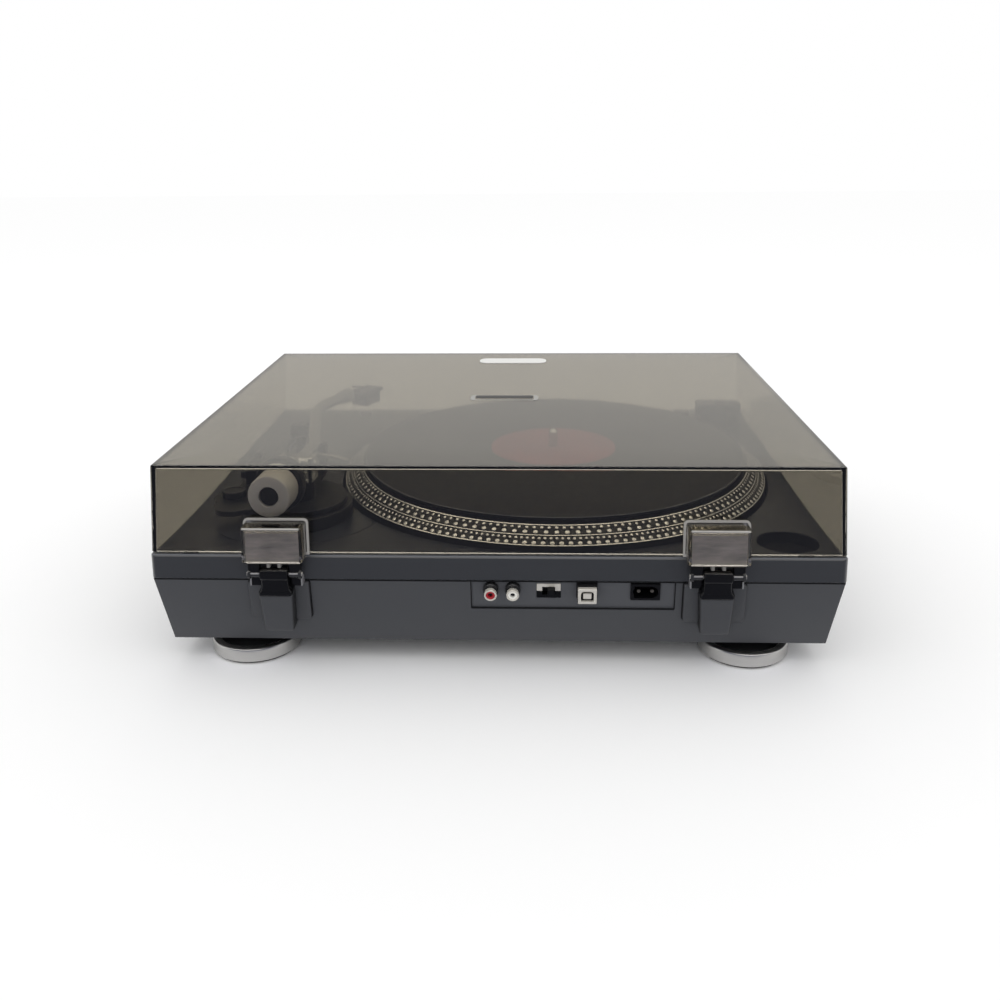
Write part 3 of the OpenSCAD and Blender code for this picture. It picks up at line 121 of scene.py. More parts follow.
def corner_arcs(steps):
    """Angles of four quarter circles in turn, and for each angle its corner's number and signs."""
    turn = np.arange(4).repeat(steps)
    a = np.tile(np.linspace(0, np.pi / 2, steps), 4) + turn * np.pi / 2
    return a, turn, np.array([1, -1, -1, 1])[turn], np.array([1, 1, -1, -1])[turn]


def plan(w, d, r, steps=7):
    """Rounded rectangles, one per entry: quarter circles of radius r about the four corners of w by d."""
    w, d, r = (np.atleast_1d(np.asarray(k, float))[:, None] for k in np.broadcast_arrays(w, d, r))
    a, _, sx, sy = corner_arcs(steps)
    return np.stack([sx * (w / 2 - r) + r * np.cos(a), sy * (d / 2 - r) + r * np.sin(a)], -1)


def mouth(w, d, radii, steps=5):
    """One rectangle ring of w by d whose corners have one radius, or each its own."""
    a, turn, sx, sy = corner_arcs(steps)
    r = np.broadcast_to(np.asarray(radii, float), (4,))[turn]
    return np.stack([sx * (w / 2 - r) + r * np.cos(a), sy * (d / 2 - r) + r * np.sin(a)], -1)


def lofted(w, d, corner, profile, steps=7):
    """Stacked rounded rectangles: each profile point (inset, z) gives a ring of w - 2 inset by d - 2 inset,
    its corners rounded by what the inset leaves of corner. The first and last rings are closed flat."""
    p = np.asarray(profile, float)
    ring = plan(w - 2 * p[:, 0], d - 2 * p[:, 0], np.maximum(corner - p[:, 0], corner * 0.12), steps)
    n = ring.shape[1]
    z = np.repeat(p[:, 1:], n, 1)[..., None]
    return np.concatenate([ring, z], -1).reshape(-1, 3), capped(len(p), n)


def soft_block(w, d, z0, z1, corner, edge):
    """Block with rounded upright corners and rounded long edges, as a lofted stack."""
    inset = edge * 2.2
    return lofted(w, d, corner, soften([(inset, z0), (0, z0), (0, z1), (inset, z1)], edge))


def stacked(rings, heights):
    """Skin over rings of equal point count at the given heights, its first and last ring closed flat."""
    rings = np.asarray(rings, float)
    n = rings.shape[1]
    z = np.broadcast_to(np.asarray(heights, float)[:, None, None], (len(rings), n, 1))
    return np.concatenate([rings, z], -1).reshape(-1, 3), capped(len(rings), n)


def hoop(outer, inner, z0, z1):
    """Closed band between two rings of equal point count: out at z0, up to z1, in, and down again."""
    rings = np.stack([outer, outer, inner, inner])
    z = np.broadcast_to(np.array([z0, z1, z1, z0], float)[:, None, None], (*rings.shape[:2], 1))
    return np.concatenate([rings, z], -1).reshape(-1, 3), quads(4, rings.shape[1], True)


def swept(path, radius, around=20):
    """Round tube on a path in a level plane: at each point a circle of the radius in the plane of
    the path's normal and the Z axis. The ends are closed flat."""
    p = np.asarray(path, float)
    t = np.gradient(p, axis=0)
    t /= np.linalg.norm(t, axis=1, keepdims=True)
    side = np.stack([t[:, 1], -t[:, 0], np.zeros(len(t))], -1)
    a = np.arange(around) * 2 * np.pi / around
    up = np.array([0, 0, 1.0])
    ring = side[:, None, :] * np.cos(a)[None, :, None] + up * np.sin(a)[None, :, None]
    return (p[:, None, :] + radius * ring).reshape(-1, 3), capped(len(p), around)


# Places of shapes. A shape is a pair of points in millimetres and faces

def moved(shape, x, y, z=0.0):
    """A shape moved by a step."""
    v, f = shape
    return v + [x, y, z], f


def along(v, axis):
    """Turns points from the Z axis onto the X axis, or onto a unit vector in the level plane."""
    x, y, z = v[:, 0], v[:, 1], v[:, 2]
    if axis == "X":
        return np.stack([z, x, y], -1)
    ax, ay = axis
    return np.stack([x * -ay + z * ax, x * ax + z * ay, y], -1)


def turn_level(v, angle):
    """Turns points about the Z axis by an angle in radians."""
    c, s = math.cos(angle), math.sin(angle)
    return np.stack([v[:, 0] * c - v[:, 1] * s, v[:, 0] * s + v[:, 1] * c, v[:, 2]], -1)


def leaning(shape, x, up=0.0, out=0.0, upright=False):
    """A shape put in the rear wall's own frame, at x across and moved up and out on the wall. Points
    that lie flat on the wall are (across, up, out), and upright ones (across, out, up). The wall leans
    by its draft angle a, so y = y0 + out cos a + up sin a and z = z0 - out sin a + up cos a."""
    v, f = shape
    up = up + v[:, 2 if upright else 1]
    out = out + v[:, 1 if upright else 2]
    y0, z0 = high("plinth_base")[1:]
    return np.stack([v[:, 0] + x, y0 + out * math.cos(DRAFT) + up * math.sin(DRAFT),
                     z0 - out * math.sin(DRAFT) + up * math.cos(DRAFT)], -1), f


def stance(right, up, back, spot):
    """Matrix of a lamp or camera from its three axes and its place."""
    return Matrix([*np.stack([right, up, back, spot], -1).tolist(), [0, 0, 0, 1]])


def low(node):
    """Lowest corner of a solid's box, in millimetres."""
    return np.array(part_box(node)[0]) / MM


def high(node):
    """Highest corner of a solid's box, in millimetres."""
    return np.array(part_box(node)[1]) / MM


def middle(node):
    """Middle of a solid's box, in millimetres."""
    lo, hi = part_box(node)
    return (np.array(lo) + np.array(hi)) / 2 / MM


def piece(name, shapes, body, material, nodes=(), sharp=40):
    """One object from several shapes."""
    points, faces, start = [], [], 0
    for v, f in shapes:
        f = f.tolist() if isinstance(f, np.ndarray) else f
        points.append(np.asarray(v, float))
        faces += [[k + start for k in q] for q in f]
        start += len(v)
    mesh = bpy.data.meshes.new(name)
    mesh.from_pydata(np.concatenate(points) * MM, [], faces)
    b = bmesh.new()
    b.from_mesh(mesh)
    bmesh.ops.remove_doubles(b, verts=b.verts, dist=1e-7)
    bmesh.ops.recalc_face_normals(b, faces=b.faces)
    b.to_mesh(mesh)
    b.free()
    mesh.shade_smooth()
    mesh.set_sharp_from_angle(angle=math.radians(sharp))
    mesh.materials.append(material)
    obj = bpy.data.objects.new(name, mesh)
    bpy.context.scene.collection.objects.link(obj)
    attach(obj, body)
    if nodes:
        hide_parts(*nodes)
    return obj


# Materials

def set_inputs(node, values):
    """Sets inputs of a shader node by their names, with an underscore for a blank."""
    for key, value in values.items():
        node.inputs[key.replace("_", " ")].default_value = value
    return node


def add_node(tree, kind, **values):
    """A new shader node with the given inputs."""
    return set_inputs(tree.nodes.new("ShaderNode" + kind), values)


def add_sum(tree, operation, first):
    """A new node that does a sum on a linked value."""
    node = add_node(tree, "Math")
    node.operation = operation
    tree.links.new(first, node.inputs[0])
    return node


def add_blend(tree, factor, first, second=(0, 0, 0)):
    """A new node that mixes two colours by a linked factor."""
    node = add_node(tree, "Mix")
    node.data_type = "RGBA"
    node.inputs[6].default_value = (*first, 1)
    node.inputs[7].default_value = (*second, 1)
    tree.links.new(factor, node.inputs["Factor"])
    return node


def coordinate(tree, axis, kind="Object"):
    """One coordinate of the object's own points, or of its normals."""
    part = add_node(tree, "SeparateXYZ")
    tree.links.new(add_node(tree, "TexCoord").outputs[kind], part.inputs["Vector"])
    return part.outputs[axis]


def mapped(tree, **values):
    """The object's own coordinates, moved or stretched."""
    place = add_node(tree, "Mapping", **values)
    tree.links.new(add_node(tree, "TexCoord").outputs["Object"], place.inputs["Vector"])
    return place.outputs["Vector"]


def plain(name, **values):
    """A material with the given inputs of its shader, its node tree and the shader."""
    mat = bpy.data.materials.new(name)
    mat.use_nodes = True
    tree = mat.node_tree
    return mat, tree, set_inputs(tree.nodes["Principled BSDF"], values)


def finish(name, colour, rough, metal=0.0, grain=900.0, bump=0.04, mottle=0.06, spread=0.06,
           stretch=(1, 1, 1), sheen=0.0, specular=0.5):
    """Grained finish: a noise on the object's own coordinates shades the colour by the mottle, the
    roughness by the spread and the surface by the bump. The stretch draws the grain out into lines."""
    mat, tree, shader = plain(name, Metallic=metal, Sheen_Weight=sheen, Specular_IOR_Level=specular)
    link = tree.links.new
    noise = add_node(tree, "TexNoise", Scale=grain, Detail=4.0)
    link(mapped(tree, Scale=stretch), noise.inputs["Vector"])
    grey = noise.outputs["Fac"]
    pale = [min(1, c * (1 + mottle)) for c in colour]
    tint = add_blend(tree, grey, [c * (1 - mottle) for c in colour], pale)
    link(tint.outputs[2], shader.inputs["Base Color"])
    gloss = add_node(tree, "MapRange", To_Min=max(0.02, rough - spread), To_Max=min(1.0, rough + spread))
    link(grey, gloss.inputs["Value"])
    link(gloss.outputs["Result"], shader.inputs["Roughness"])
    relief = add_node(tree, "Bump", Strength=bump, Distance=0.0004)
    link(grey, relief.inputs["Height"])
    link(relief.outputs["Normal"], shader.inputs["Normal"])
    return mat


def smoke(name, tint, specular=0.5):
    """Smoked clear plastic with faint wiping marks in its gloss. Rays that graze the wall run a longer
    way in it, so there the tint is raised to a power."""
    mat = finish(name, tint, 0.03, grain=60.0, bump=0.0, mottle=0.0, spread=0.015, specular=specular)
    tree = mat.node_tree
    shader = set_inputs(tree.nodes["Principled BSDF"], {"Transmission_Weight": 1.0, "IOR": 1.49})
    for socket in ("Base Color", "Normal"):
        tree.links.remove(shader.inputs[socket].links[0])
    facing = add_node(tree, "LayerWeight", Blend=0.5)
    way = add_blend(tree, facing.outputs["Facing"], tint, [c ** 1.8 for c in tint])
    tree.links.new(way.outputs[2], shader.inputs["Base Color"])
    return mat


def grooves(mat, centre, pitch, strength):
    """Adds round grooves about an upright axis: a ring wave of the given pitch shades the surface."""
    tree = mat.node_tree
    link = tree.links.new
    wave = add_node(tree, "TexWave", Scale=1 / (pitch * MM) / 20)
    wave.wave_type = "RINGS"
    wave.rings_direction = "Z"
    relief = add_node(tree, "Bump", Strength=strength, Distance=0.0002)
    link(mapped(tree, Location=(-centre[0] * MM, -centre[1] * MM, 0)), wave.inputs["Vector"])
    link(wave.outputs["Fac"], relief.inputs["Height"])
    link(relief.outputs["Normal"], tree.nodes["Principled BSDF"].inputs["Normal"])
    return mat


def repaint(mat, factor, other):
    """Mixes another colour into a finish, which stays as it is where the factor is one."""
    tree = mat.node_tree
    colour = tree.nodes["Principled BSDF"].inputs["Base Color"]
    paint = add_blend(tree, factor, other)
    tree.links.new(colour.links[0].from_socket, paint.inputs[7])
    tree.links.new(paint.outputs[2], colour)
    return mat


def split(mat, z, under):
    """Paints a finish in another colour below a height: the object's Z is compared with it."""
    above = add_sum(mat.node_tree, "GREATER_THAN", coordinate(mat.node_tree, "Z"))
    above.inputs[1].default_value = z * MM
    return repaint(mat, above.outputs["Value"], under)


def paint_flank_shade(mat, share):
    """Paints shade on the flanks of a finish: where the surface faces along X its colour falls to the
    share, as painted shade.
    """
    tree = mat.node_tree
    size = add_sum(tree, "ABSOLUTE", coordinate(tree, "X", "Normal"))
    level = add_node(tree, "MapRange", From_Min=0.5, From_Max=0.9, To_Min=1.0, To_Max=share)
    tree.links.new(size.outputs["Value"], level.inputs["Value"])
    return repaint(mat, level.outputs["Result"], (0, 0, 0))


def dress(material, *nodes):
    """Gives solids that keep their own shape a material."""
    for n in nodes:
        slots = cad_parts[n].data.materials
        slots.clear()
        slots.append(material)


# What a user would change

class TurntableCover(bpy.types.PropertyGroup):
    wall: FloatProperty(name="Wall", description="Wall of the cover", default=3 * MM, unit="LENGTH")
    edge: FloatProperty(name="Edge radius", description="Rounding of the cover's upper edges",
                        default=1.5 * MM, unit="LENGTH")
    tint: FloatVectorProperty(name="Smoke", description="Colour that one wall of the cover lets through",
                              default=(0.51, 0.485, 0.425), subtype="COLOR", min=0, max=1)


class TurntableCase(bpy.types.PropertyGroup):
    base: FloatVectorProperty(name="Base", description="Colour of the lower base",
                              default=(0.0558, 0.058, 0.0642), subtype="COLOR", min=0, max=1)
    deck: FloatVectorProperty(name="Deck", description="Colour of the deck and its rim",
                              default=(0.0336, 0.0354, 0.0397), subtype="COLOR", min=0, max=1)
    silver: FloatVectorProperty(name="Silver", description="Colour of the turned metal",
                                default=(0.6, 0.59, 0.57), subtype="COLOR", min=0, max=1)


class TurntablePlatter(bpy.types.PropertyGroup):
    label: FloatVectorProperty(name="Label", description="Colour of the plain record label",
                               default=(0.42, 0.12, 0.13), subtype="COLOR", min=0, max=1)
    coarse: IntProperty(name="Large dots", description="Dots in a row of large strobe dots", default=170,
                        min=24)
    fine: IntProperty(name="Small dots", description="Dots in a row of small strobe dots", default=262,
                      min=24)


# Operators, one for each group of pieces

class TURNTABLE_OT_cover(bpy.types.Operator):
    """Smoked cover with rounded edges, its plain badges, hinge pockets and bumpers"""

    bl_idname = "turntable.cover"
    bl_label = "Dust cover"

    def execute(self, context):
        size = context.scene.turntable_cover
        wall, edge = size.wall / MM, size.edge / MM
        lo, hi = low("dust_cover"), high("dust_cover")
        mid = (lo + hi) / 2
        w, d, h = hi - lo
        lean, side_lean, badge, corner = 1.3, 2.0, 0.25, 2.6
        top = h - badge
        outer = [(40, top), (lean, top), (0, 0.0), (wall * 0.5, 0.0)]
        inner = [(wall * 0.5, 0.0), (wall, 0.0), (wall + lean, h - wall), (40, h - wall)]
        profile = np.concatenate([soften(outer, [edge, 0.5], 6), soften(inner, [0.5, edge * 0.7], 6)[1:]])
        v, f = lofted(w, d, corner, profile, 9)
        # The side walls lean out a little further toward the rim
        v[:, 0] *= 1 + 2 * side_lean / w * (1 - v[:, 2] / h)
        shell = moved((v, f), mid[0], mid[1], lo[2])
        smoked = smoke("Smoked cover", size.tint)
        piece("dust_cover_shell", [shell], "cover", smoked, ["dust_cover"], 30)
        # The badges are thin plates and a hoop, sunk a little into the cover's top
        pale = finish("Badge pale foil", (0.7, 0.7, 0.68), 0.6, grain=900, bump=0.05)
        ink = finish("Badge dark print", (0.012, 0.012, 0.012), 0.5, grain=900, bump=0.03)
        dull = finish("Badge grey print", (0.3, 0.295, 0.28), 0.5, grain=900, bump=0.03)
        sunk = lo[2] + top - 0.1
        plate = moved(soft_block(62.0, 20.0, sunk, hi[2], 8.0, 0.08), mid[0] - 4.5, lo[1] + 37.0)
        piece("badge_front", [plate], "cover", pale)
        plate = moved(soft_block(46.0, 8.0, sunk, hi[2] - 0.05, 0.8, 0.06), mid[0] - 1.0, mid[1] - 2.4)
        piece("badge_middle", [plate], "cover", ink)
        ring = hoop(mouth(54.0, 15.0, 3.0), mouth(47.0, 13.6, 2.0), sunk, hi[2] - 0.08)
        piece("badge_outline", [moved(ring, mid[0] - 1.0, mid[1] + 0.6)], "cover", dull)
        # A pocket is a rounded box open below; a pale bar on its edge and a pale frame round its root are
        # painted highlights
        lo, hi = low("lid_pockets"), high("lid_pockets")
        half, skirt = 21.1, 3.0
        bottom = lo[2] - skirt
        depth, tall = hi[1] - lo[1] - 0.7, hi[2] - 1.6 - bottom
        outer = [(7, tall), (0, tall), (0, 0), (1, 0)]
        inner = [(1, 0), (2, 0), (2, tall - 2), (7, tall - 2)]
        profile = np.concatenate([soften(outer, [1.4, 0.3], 5), soften(inner, [0.3, 1.0], 5)[1:]])
        box = lofted(39, depth, 1.6, profile)
        root, faces = hoop(mouth(42.2, 24.6, (3, 3, 0.4, 0.4)), mouth(39.3, 21.8, (1.6, 1.6, 0.3, 0.3)),
                           -hi[1] + depth - 1.3, -hi[1] + depth)
        bar = soft_block(36.4, 1.1, hi[2] - 2.7, hi[2] - 1.56, 0.3, 0.25)
        boxes, edges = [], []
        for x in (lo[0] + half, hi[0] - half):
            boxes.append(moved(box, x, hi[1] - depth / 2, bottom))
            edges.append((np.stack([root[:, 0] + x, -root[:, 2], root[:, 1] + hi[2] - 12.3], -1), faces))
            edges.append(moved(bar, x, hi[1] - 0.6))
        clear = smoke("Smoked hinge pocket", [min(1, c + 0.3) for c in size.tint], specular=1.0)
        piece("hinge_pocket_pair", boxes, "cover", clear, ["lid_pockets"], 30)
        highlight_paint = finish("Pocket painted highlight", (0.4, 0.385, 0.365), 0.15, grain=900, bump=0.02)
        piece("hinge_pocket_highlights", edges, "cover", highlight_paint)
        dress(finish("Bumper rubber", (0.02, 0.02, 0.02), 0.8), "lid_bumpers")
        return {"FINISHED"}


class TURNTABLE_OT_case(bpy.types.Operator):
    """Materials of the base, deck, panel and screws, black strips of painted shadow along the joints
    between them, and the well's near-black felt of painted shade
    """

    bl_idname = "turntable.case"
    bl_label = "Case"

    def execute(self, context):
        colours = context.scene.turntable_case
        base = finish("Base moulded plastic", colours.base, 0.55, grain=2600, bump=0.16, mottle=0.1)
        dress(base, "plinth_base")
        # The deck's flat top is painted lighter than its rim: painted light for the light it gets under the
        # cover
        deck_z = low("arm_mount")[2]
        tint = [k * c for k, c in zip((1.8, 1.86, 2.0), colours.deck)]
        flat = finish("Deck satin paint, painted light on top", tint, 0.24, grain=3200, bump=0.1, mottle=0.12)
        dress(split(flat, deck_z - 0.6, colours.deck), "deck")
        # The panel takes a lighter copy of the base colour: painted light that cancels the shade of its
        # recess under the rim
        tint = [1.25 * c for c in colours.base]
        dress(finish("Panel plastic, painted light", tint, 0.5, grain=2600, bump=0.14), "connector_panel")
        dress(finish("Screw steel", (0.5, 0.5, 0.51), 0.3, 1.0, grain=3000), "case_screws")
        # Black strips along the joints under the rim, around the connector panel and around the hinge pads:
        # real seams deepened with painted shadow
        shade = finish("Seam painted shadow black", (0.003, 0.003, 0.003), 0.9, grain=2000)
        lo, hi = low("plinth_base"), high("plinth_base")
        w, d = 2 * hi[0], hi[1] - lo[1]
        outer, inner = plan(w + 0.5, d + 0.5, 1.2)[0], plan(w - 1.5, d - 1.5, 0.8)[0]
        rim = hoop(outer, inner, hi[2] - 0.7, hi[2] - 0.02)
        seam_shadows = [moved(rim, 0, (lo[1] + hi[1]) / 2)]
        lo, hi = low("connector_panel"), high("connector_panel")
        wide, tall = hi[0] - lo[0], (hi[2] - lo[2]) / math.cos(DRAFT) - 0.9
        ring = hoop(mouth(wide + 0.9, tall + 0.9, 0.6), mouth(wide - 0.3, tall - 0.3, 0.4), -0.4, 0.04)
        seam_shadows.append(leaning(ring, (lo[0] + hi[0]) / 2, -(tall / 2 + 0.4)))
        outer = mouth(PAD_WIDE + 0.9, PAD_TALL + 0.9, (1.4, 1.4, 2.6, 2.6))
        inner = mouth(PAD_WIDE - 0.4, PAD_TALL - 0.4, (1.0, 1.0, 2.2, 2.2))
        for x in (-141.0, 141.0):
            seam_shadows.append(leaning(hoop(outer, inner, -0.3, 0.1), x, -PAD_DROP))
        piece("case_seam_shadows", seam_shadows, "chassis", shade)
        # The adapter well is lined with near-black felt, painted shade of the deep hole
        lo, hi = low("deck"), high("deck")
        r, depth, brim = 20.4, 7.9, 0.5
        lining = [(0, deck_z - depth), (r, deck_z - depth), (r, deck_z - brim), (20.0, deck_z - brim),
                  (20.0, deck_z - 7.4), (0, deck_z - 7.4)]
        lining = moved(turned(soften(lining, [0.2, 0.1, 0.1, 0.6], 3), 96), lo[0] + 32.0, hi[1] - 31.0)
        felt = finish("Well felt, painted shade", (0.006, 0.006, 0.0065), 0.95, grain=1600, bump=0.2)
        piece("adapter_well_lining", [lining], "chassis", felt)
        return {"FINISHED"}


class TURNTABLE_OT_hinges(bpy.types.Operator):
    """Moulded housings, gloss black hinge bodies, brackets, pins and the leaves in the cover's pockets"""

    bl_idname = "turntable.hinges"
    bl_label = "Hinges"

    def execute(self, context):
        # The housings take a slightly darker copy of the base colour as painted shade, and more painted
        # shade on their flanks that face along X
        tint = [0.92 * c for c in context.scene.turntable_case.base]
        grey = paint_flank_shade(finish("Housing moulded plastic", tint, 0.55, grain=2600, bump=0.16, mottle=0.1), 0.3)
        gloss = finish("Hinge gloss black", (0.004, 0.004, 0.0045), 0.1, grain=500, bump=0.02, specular=0.3)
        drawn = {"grain": 2000, "stretch": (1, 0.05, 0.05)}
        steel = finish("Hinge pin steel", (0.66, 0.64, 0.6), 0.12, 0.7, **drawn)
        dark = finish("Hinge eye dark steel", (0.05, 0.05, 0.052), 0.16, 0.5, **drawn)
        cast = finish("Bracket leg grey", (0.2, 0.2, 0.21), 0.3, grain=900, bump=0.05)
        prong = finish("Hinge prong grey", (0.17, 0.165, 0.155), 0.35, grain=900, bump=0.05)
        # The leaf's strong mottle, drawn out into bands along X, is a painted reflection of wavy lines in
        # the pocket's wall
        leaf = finish("Hinge leaf grey, painted reflection bands", (0.31, 0.285, 0.25), 0.3, grain=260, bump=0.05, mottle=0.75,
                      stretch=(0.25, 1, 1))
        dress(steel, "hinge_pins")
        _, y, z = middle("hinge_pins")
        span = high("hinge_pins")[0] - 17.9
        z_top = high("hinge_leaves")[2]
        foot, rear = high("plinth_base")[2] - 1.6, high("deck")[1]
        # A housing is a tapered stack of rings round at the outer corners, on a flat pad
        up = np.array([-33, -32.6, -31.6, -30.2, -18, -6.6, -5.6, -5.15, -5.0])
        tuck = np.array([2.2, 1.2, 0.6, 0.3, 0.1, 0.0, 0.25, 0.9, 1.8])
        width = 22.4 - 2.6 * (-5 - up) / 28 - 0.9 * tuck
        depth = 11.5 + 2.8 - tuck * 0.7
        rings = [mouth(p, q, (2.4, 2.4, 0.6, 0.6)) + [0, q / 2 - 2.8] for p, q in zip(width, depth)]
        housing = stacked(rings, up)
        rings = [mouth(PAD_WIDE - 2 * t, PAD_TALL - 2 * t, (1.2, 1.2, 2.4, 2.4)) for t in (0, 0, 0.3, 0.9)]
        pad = stacked(rings, [-1.0, 2.2, 2.75, 3.0])
        # A base is a flared stack on the housing, and a round knuckle above it
        up = np.array([-5.0, -4.6, -2.9, -2.3, -1.4, 0.4, 3.0, 8.6])
        width = np.array([21.2, 21.8, 21.8, 21.2, 19.4, 18.2, 18.0, 18.0])
        depth = np.array([10.2, 10.7, 10.7, 10.2, 9.4, 9.0, 8.8, 8.8])
        rings = [mouth(p, q, (2.2, 2.2, 1.2, 1.2)) + [0, 6.9 + (q - 8.8) * 0.1 - 0.4]
                 for p, q in zip(width, depth)]
        base = stacked(rings, up)
        v, f = turned(soften([(0, -9), (4.6, -9), (4.6, 9), (0, 9)], 1.0), 64)
        knuckle = (along(v, "X"), f)
        # A leaf is a plate with prongs below, and two round eyes on the pin that webs join to it; a bright
        # bar along each eye is a painted highlight
        leaf_z = z + 7.9
        plate = soft_block(34.6, 5.0, z + 7.8, z_top, 0.8, 0.5)
        web = soft_block(7.6, 4.0, z, leaf_z, 0.7, 0.3)
        glint_bar = soft_block(7.2, 0.9, z + 0.5, z + 1.5, 0.2, 0.2)
        stub = soft_block(2.2, 4.0, z + 4.9, leaf_z, 0.4, 0.3)
        eye = [(0, -4.0), (2.3, -4.0), (2.3, 2.0), (3.2, 2.2), (3.2, 4.0), (0, 4.0)]
        eye, eye_faces = turned(soften(eye, [0.4, 0.2, 0.2, 0.4], 4), 48)
        # A bracket is a dark block on the rim under each eye, with a bright leg at its outer end
        block = soft_block(7.0, 6.0, foot, z - 3.6, 0.3, 0.2)
        leg = soft_block(1.0, 6.6, foot, z - 3.4, 0.2, 0.2)
        housings, bases, eyes, webs, plates = [], [], [], [], []
        glint_bars, prongs, blocks, legs = [], [], [], []
        for x in (-span, span):
            housings += [leaning(housing, x, upright=True), leaning(pad, x, -PAD_DROP)]
            bases += [leaning(base, x, upright=True), moved(knuckle, x, y, z)]
            plates.append(moved(plate, x, y))
            for side in (-1, 1):
                eyes.append(moved((along(eye * [1, 1, side], "X"), eye_faces), x + side * 13.3, y, z))
                webs.append(moved(web, x + side * 13.3, y - 0.4))
                glint_bars.append(moved(glint_bar, x + side * 13.2, y + 1.85))
                prongs.append(moved(stub, x + side * 3.5, y))
                blocks.append(moved(block, x + side * 12.6, rear + 1.5))
                legs.append(moved(leg, x + side * 16.5, rear + 1.8))
        piece("hinge_housing_pair", housings, "chassis", grey, ["hinge_housings"])
        piece("hinge_base_pair", bases, "chassis", gloss, ["hinge_bases"])
        piece("hinge_eye_pairs", eyes, "cover", dark, ["hinge_leaves"])
        piece("hinge_eye_webs", webs, "cover", gloss)
        # Bright bars of painted highlight along the eyes
        piece("hinge_eye_glints", glint_bars, "cover", steel)
        piece("hinge_bracket_blocks", blocks, "chassis", gloss)
        piece("hinge_bracket_legs", legs, "chassis", cast)
        piece("hinge_leaf_plates", plates, "cover", leaf)
        piece("hinge_leaf_prongs", prongs, "cover", prong)
        return {"FINISHED"}


class TURNTABLE_OT_feet(bpy.types.Operator):
    """Turned silver feet on rubber pads"""

    bl_idname = "turntable.feet"
    bl_label = "Feet"

    def execute(self, context):
        tint = context.scene.turntable_case.silver
        silver = finish("Turned silver", tint, 0.32, 1.0, grain=2500, bump=0.12, mottle=0.1,
                        stretch=(0.02, 0.02, 1))
        rubber = finish("Foot rubber", (0.018, 0.018, 0.019), 0.75, grain=1400, bump=0.15)
        sides = (("fl", "front_left"), ("fr", "front_right"), ("rl", "rear_left"), ("rr", "rear_right"))
        for key, side in sides:
            node = "foot_" + side
            x, y, _ = middle(node)
            top = high(node)[2]
            r = (high(node)[0] - low(node)[0]) / 2
            band = [(r - 6, 7.5), (r - 5, 10.5), (r, 10.5), (r, 1.5), (r - 6, 1.5)]
            band = moved(looped(soften(band, [0.6, 1.1, 1.0], 4), 160), x, y)
            piece(node + "_band", [band], "foot_" + key, silver)
            pad = [(0, 0), (r - 2, 0), (r - 2, 1.6), (r - 5.4, 1.6), (r - 5.4, 7.6), (6, 7.6), (6, top),
                   (0, top)]
            pad = moved(turned(soften(pad, [0.5, 0.3, 0.3, 1.2, 0.8, 0.3], 3), 120), x, y)
            piece(node + "_core", [pad], "foot_" + key, rubber, [node])
        return {"FINISHED"}


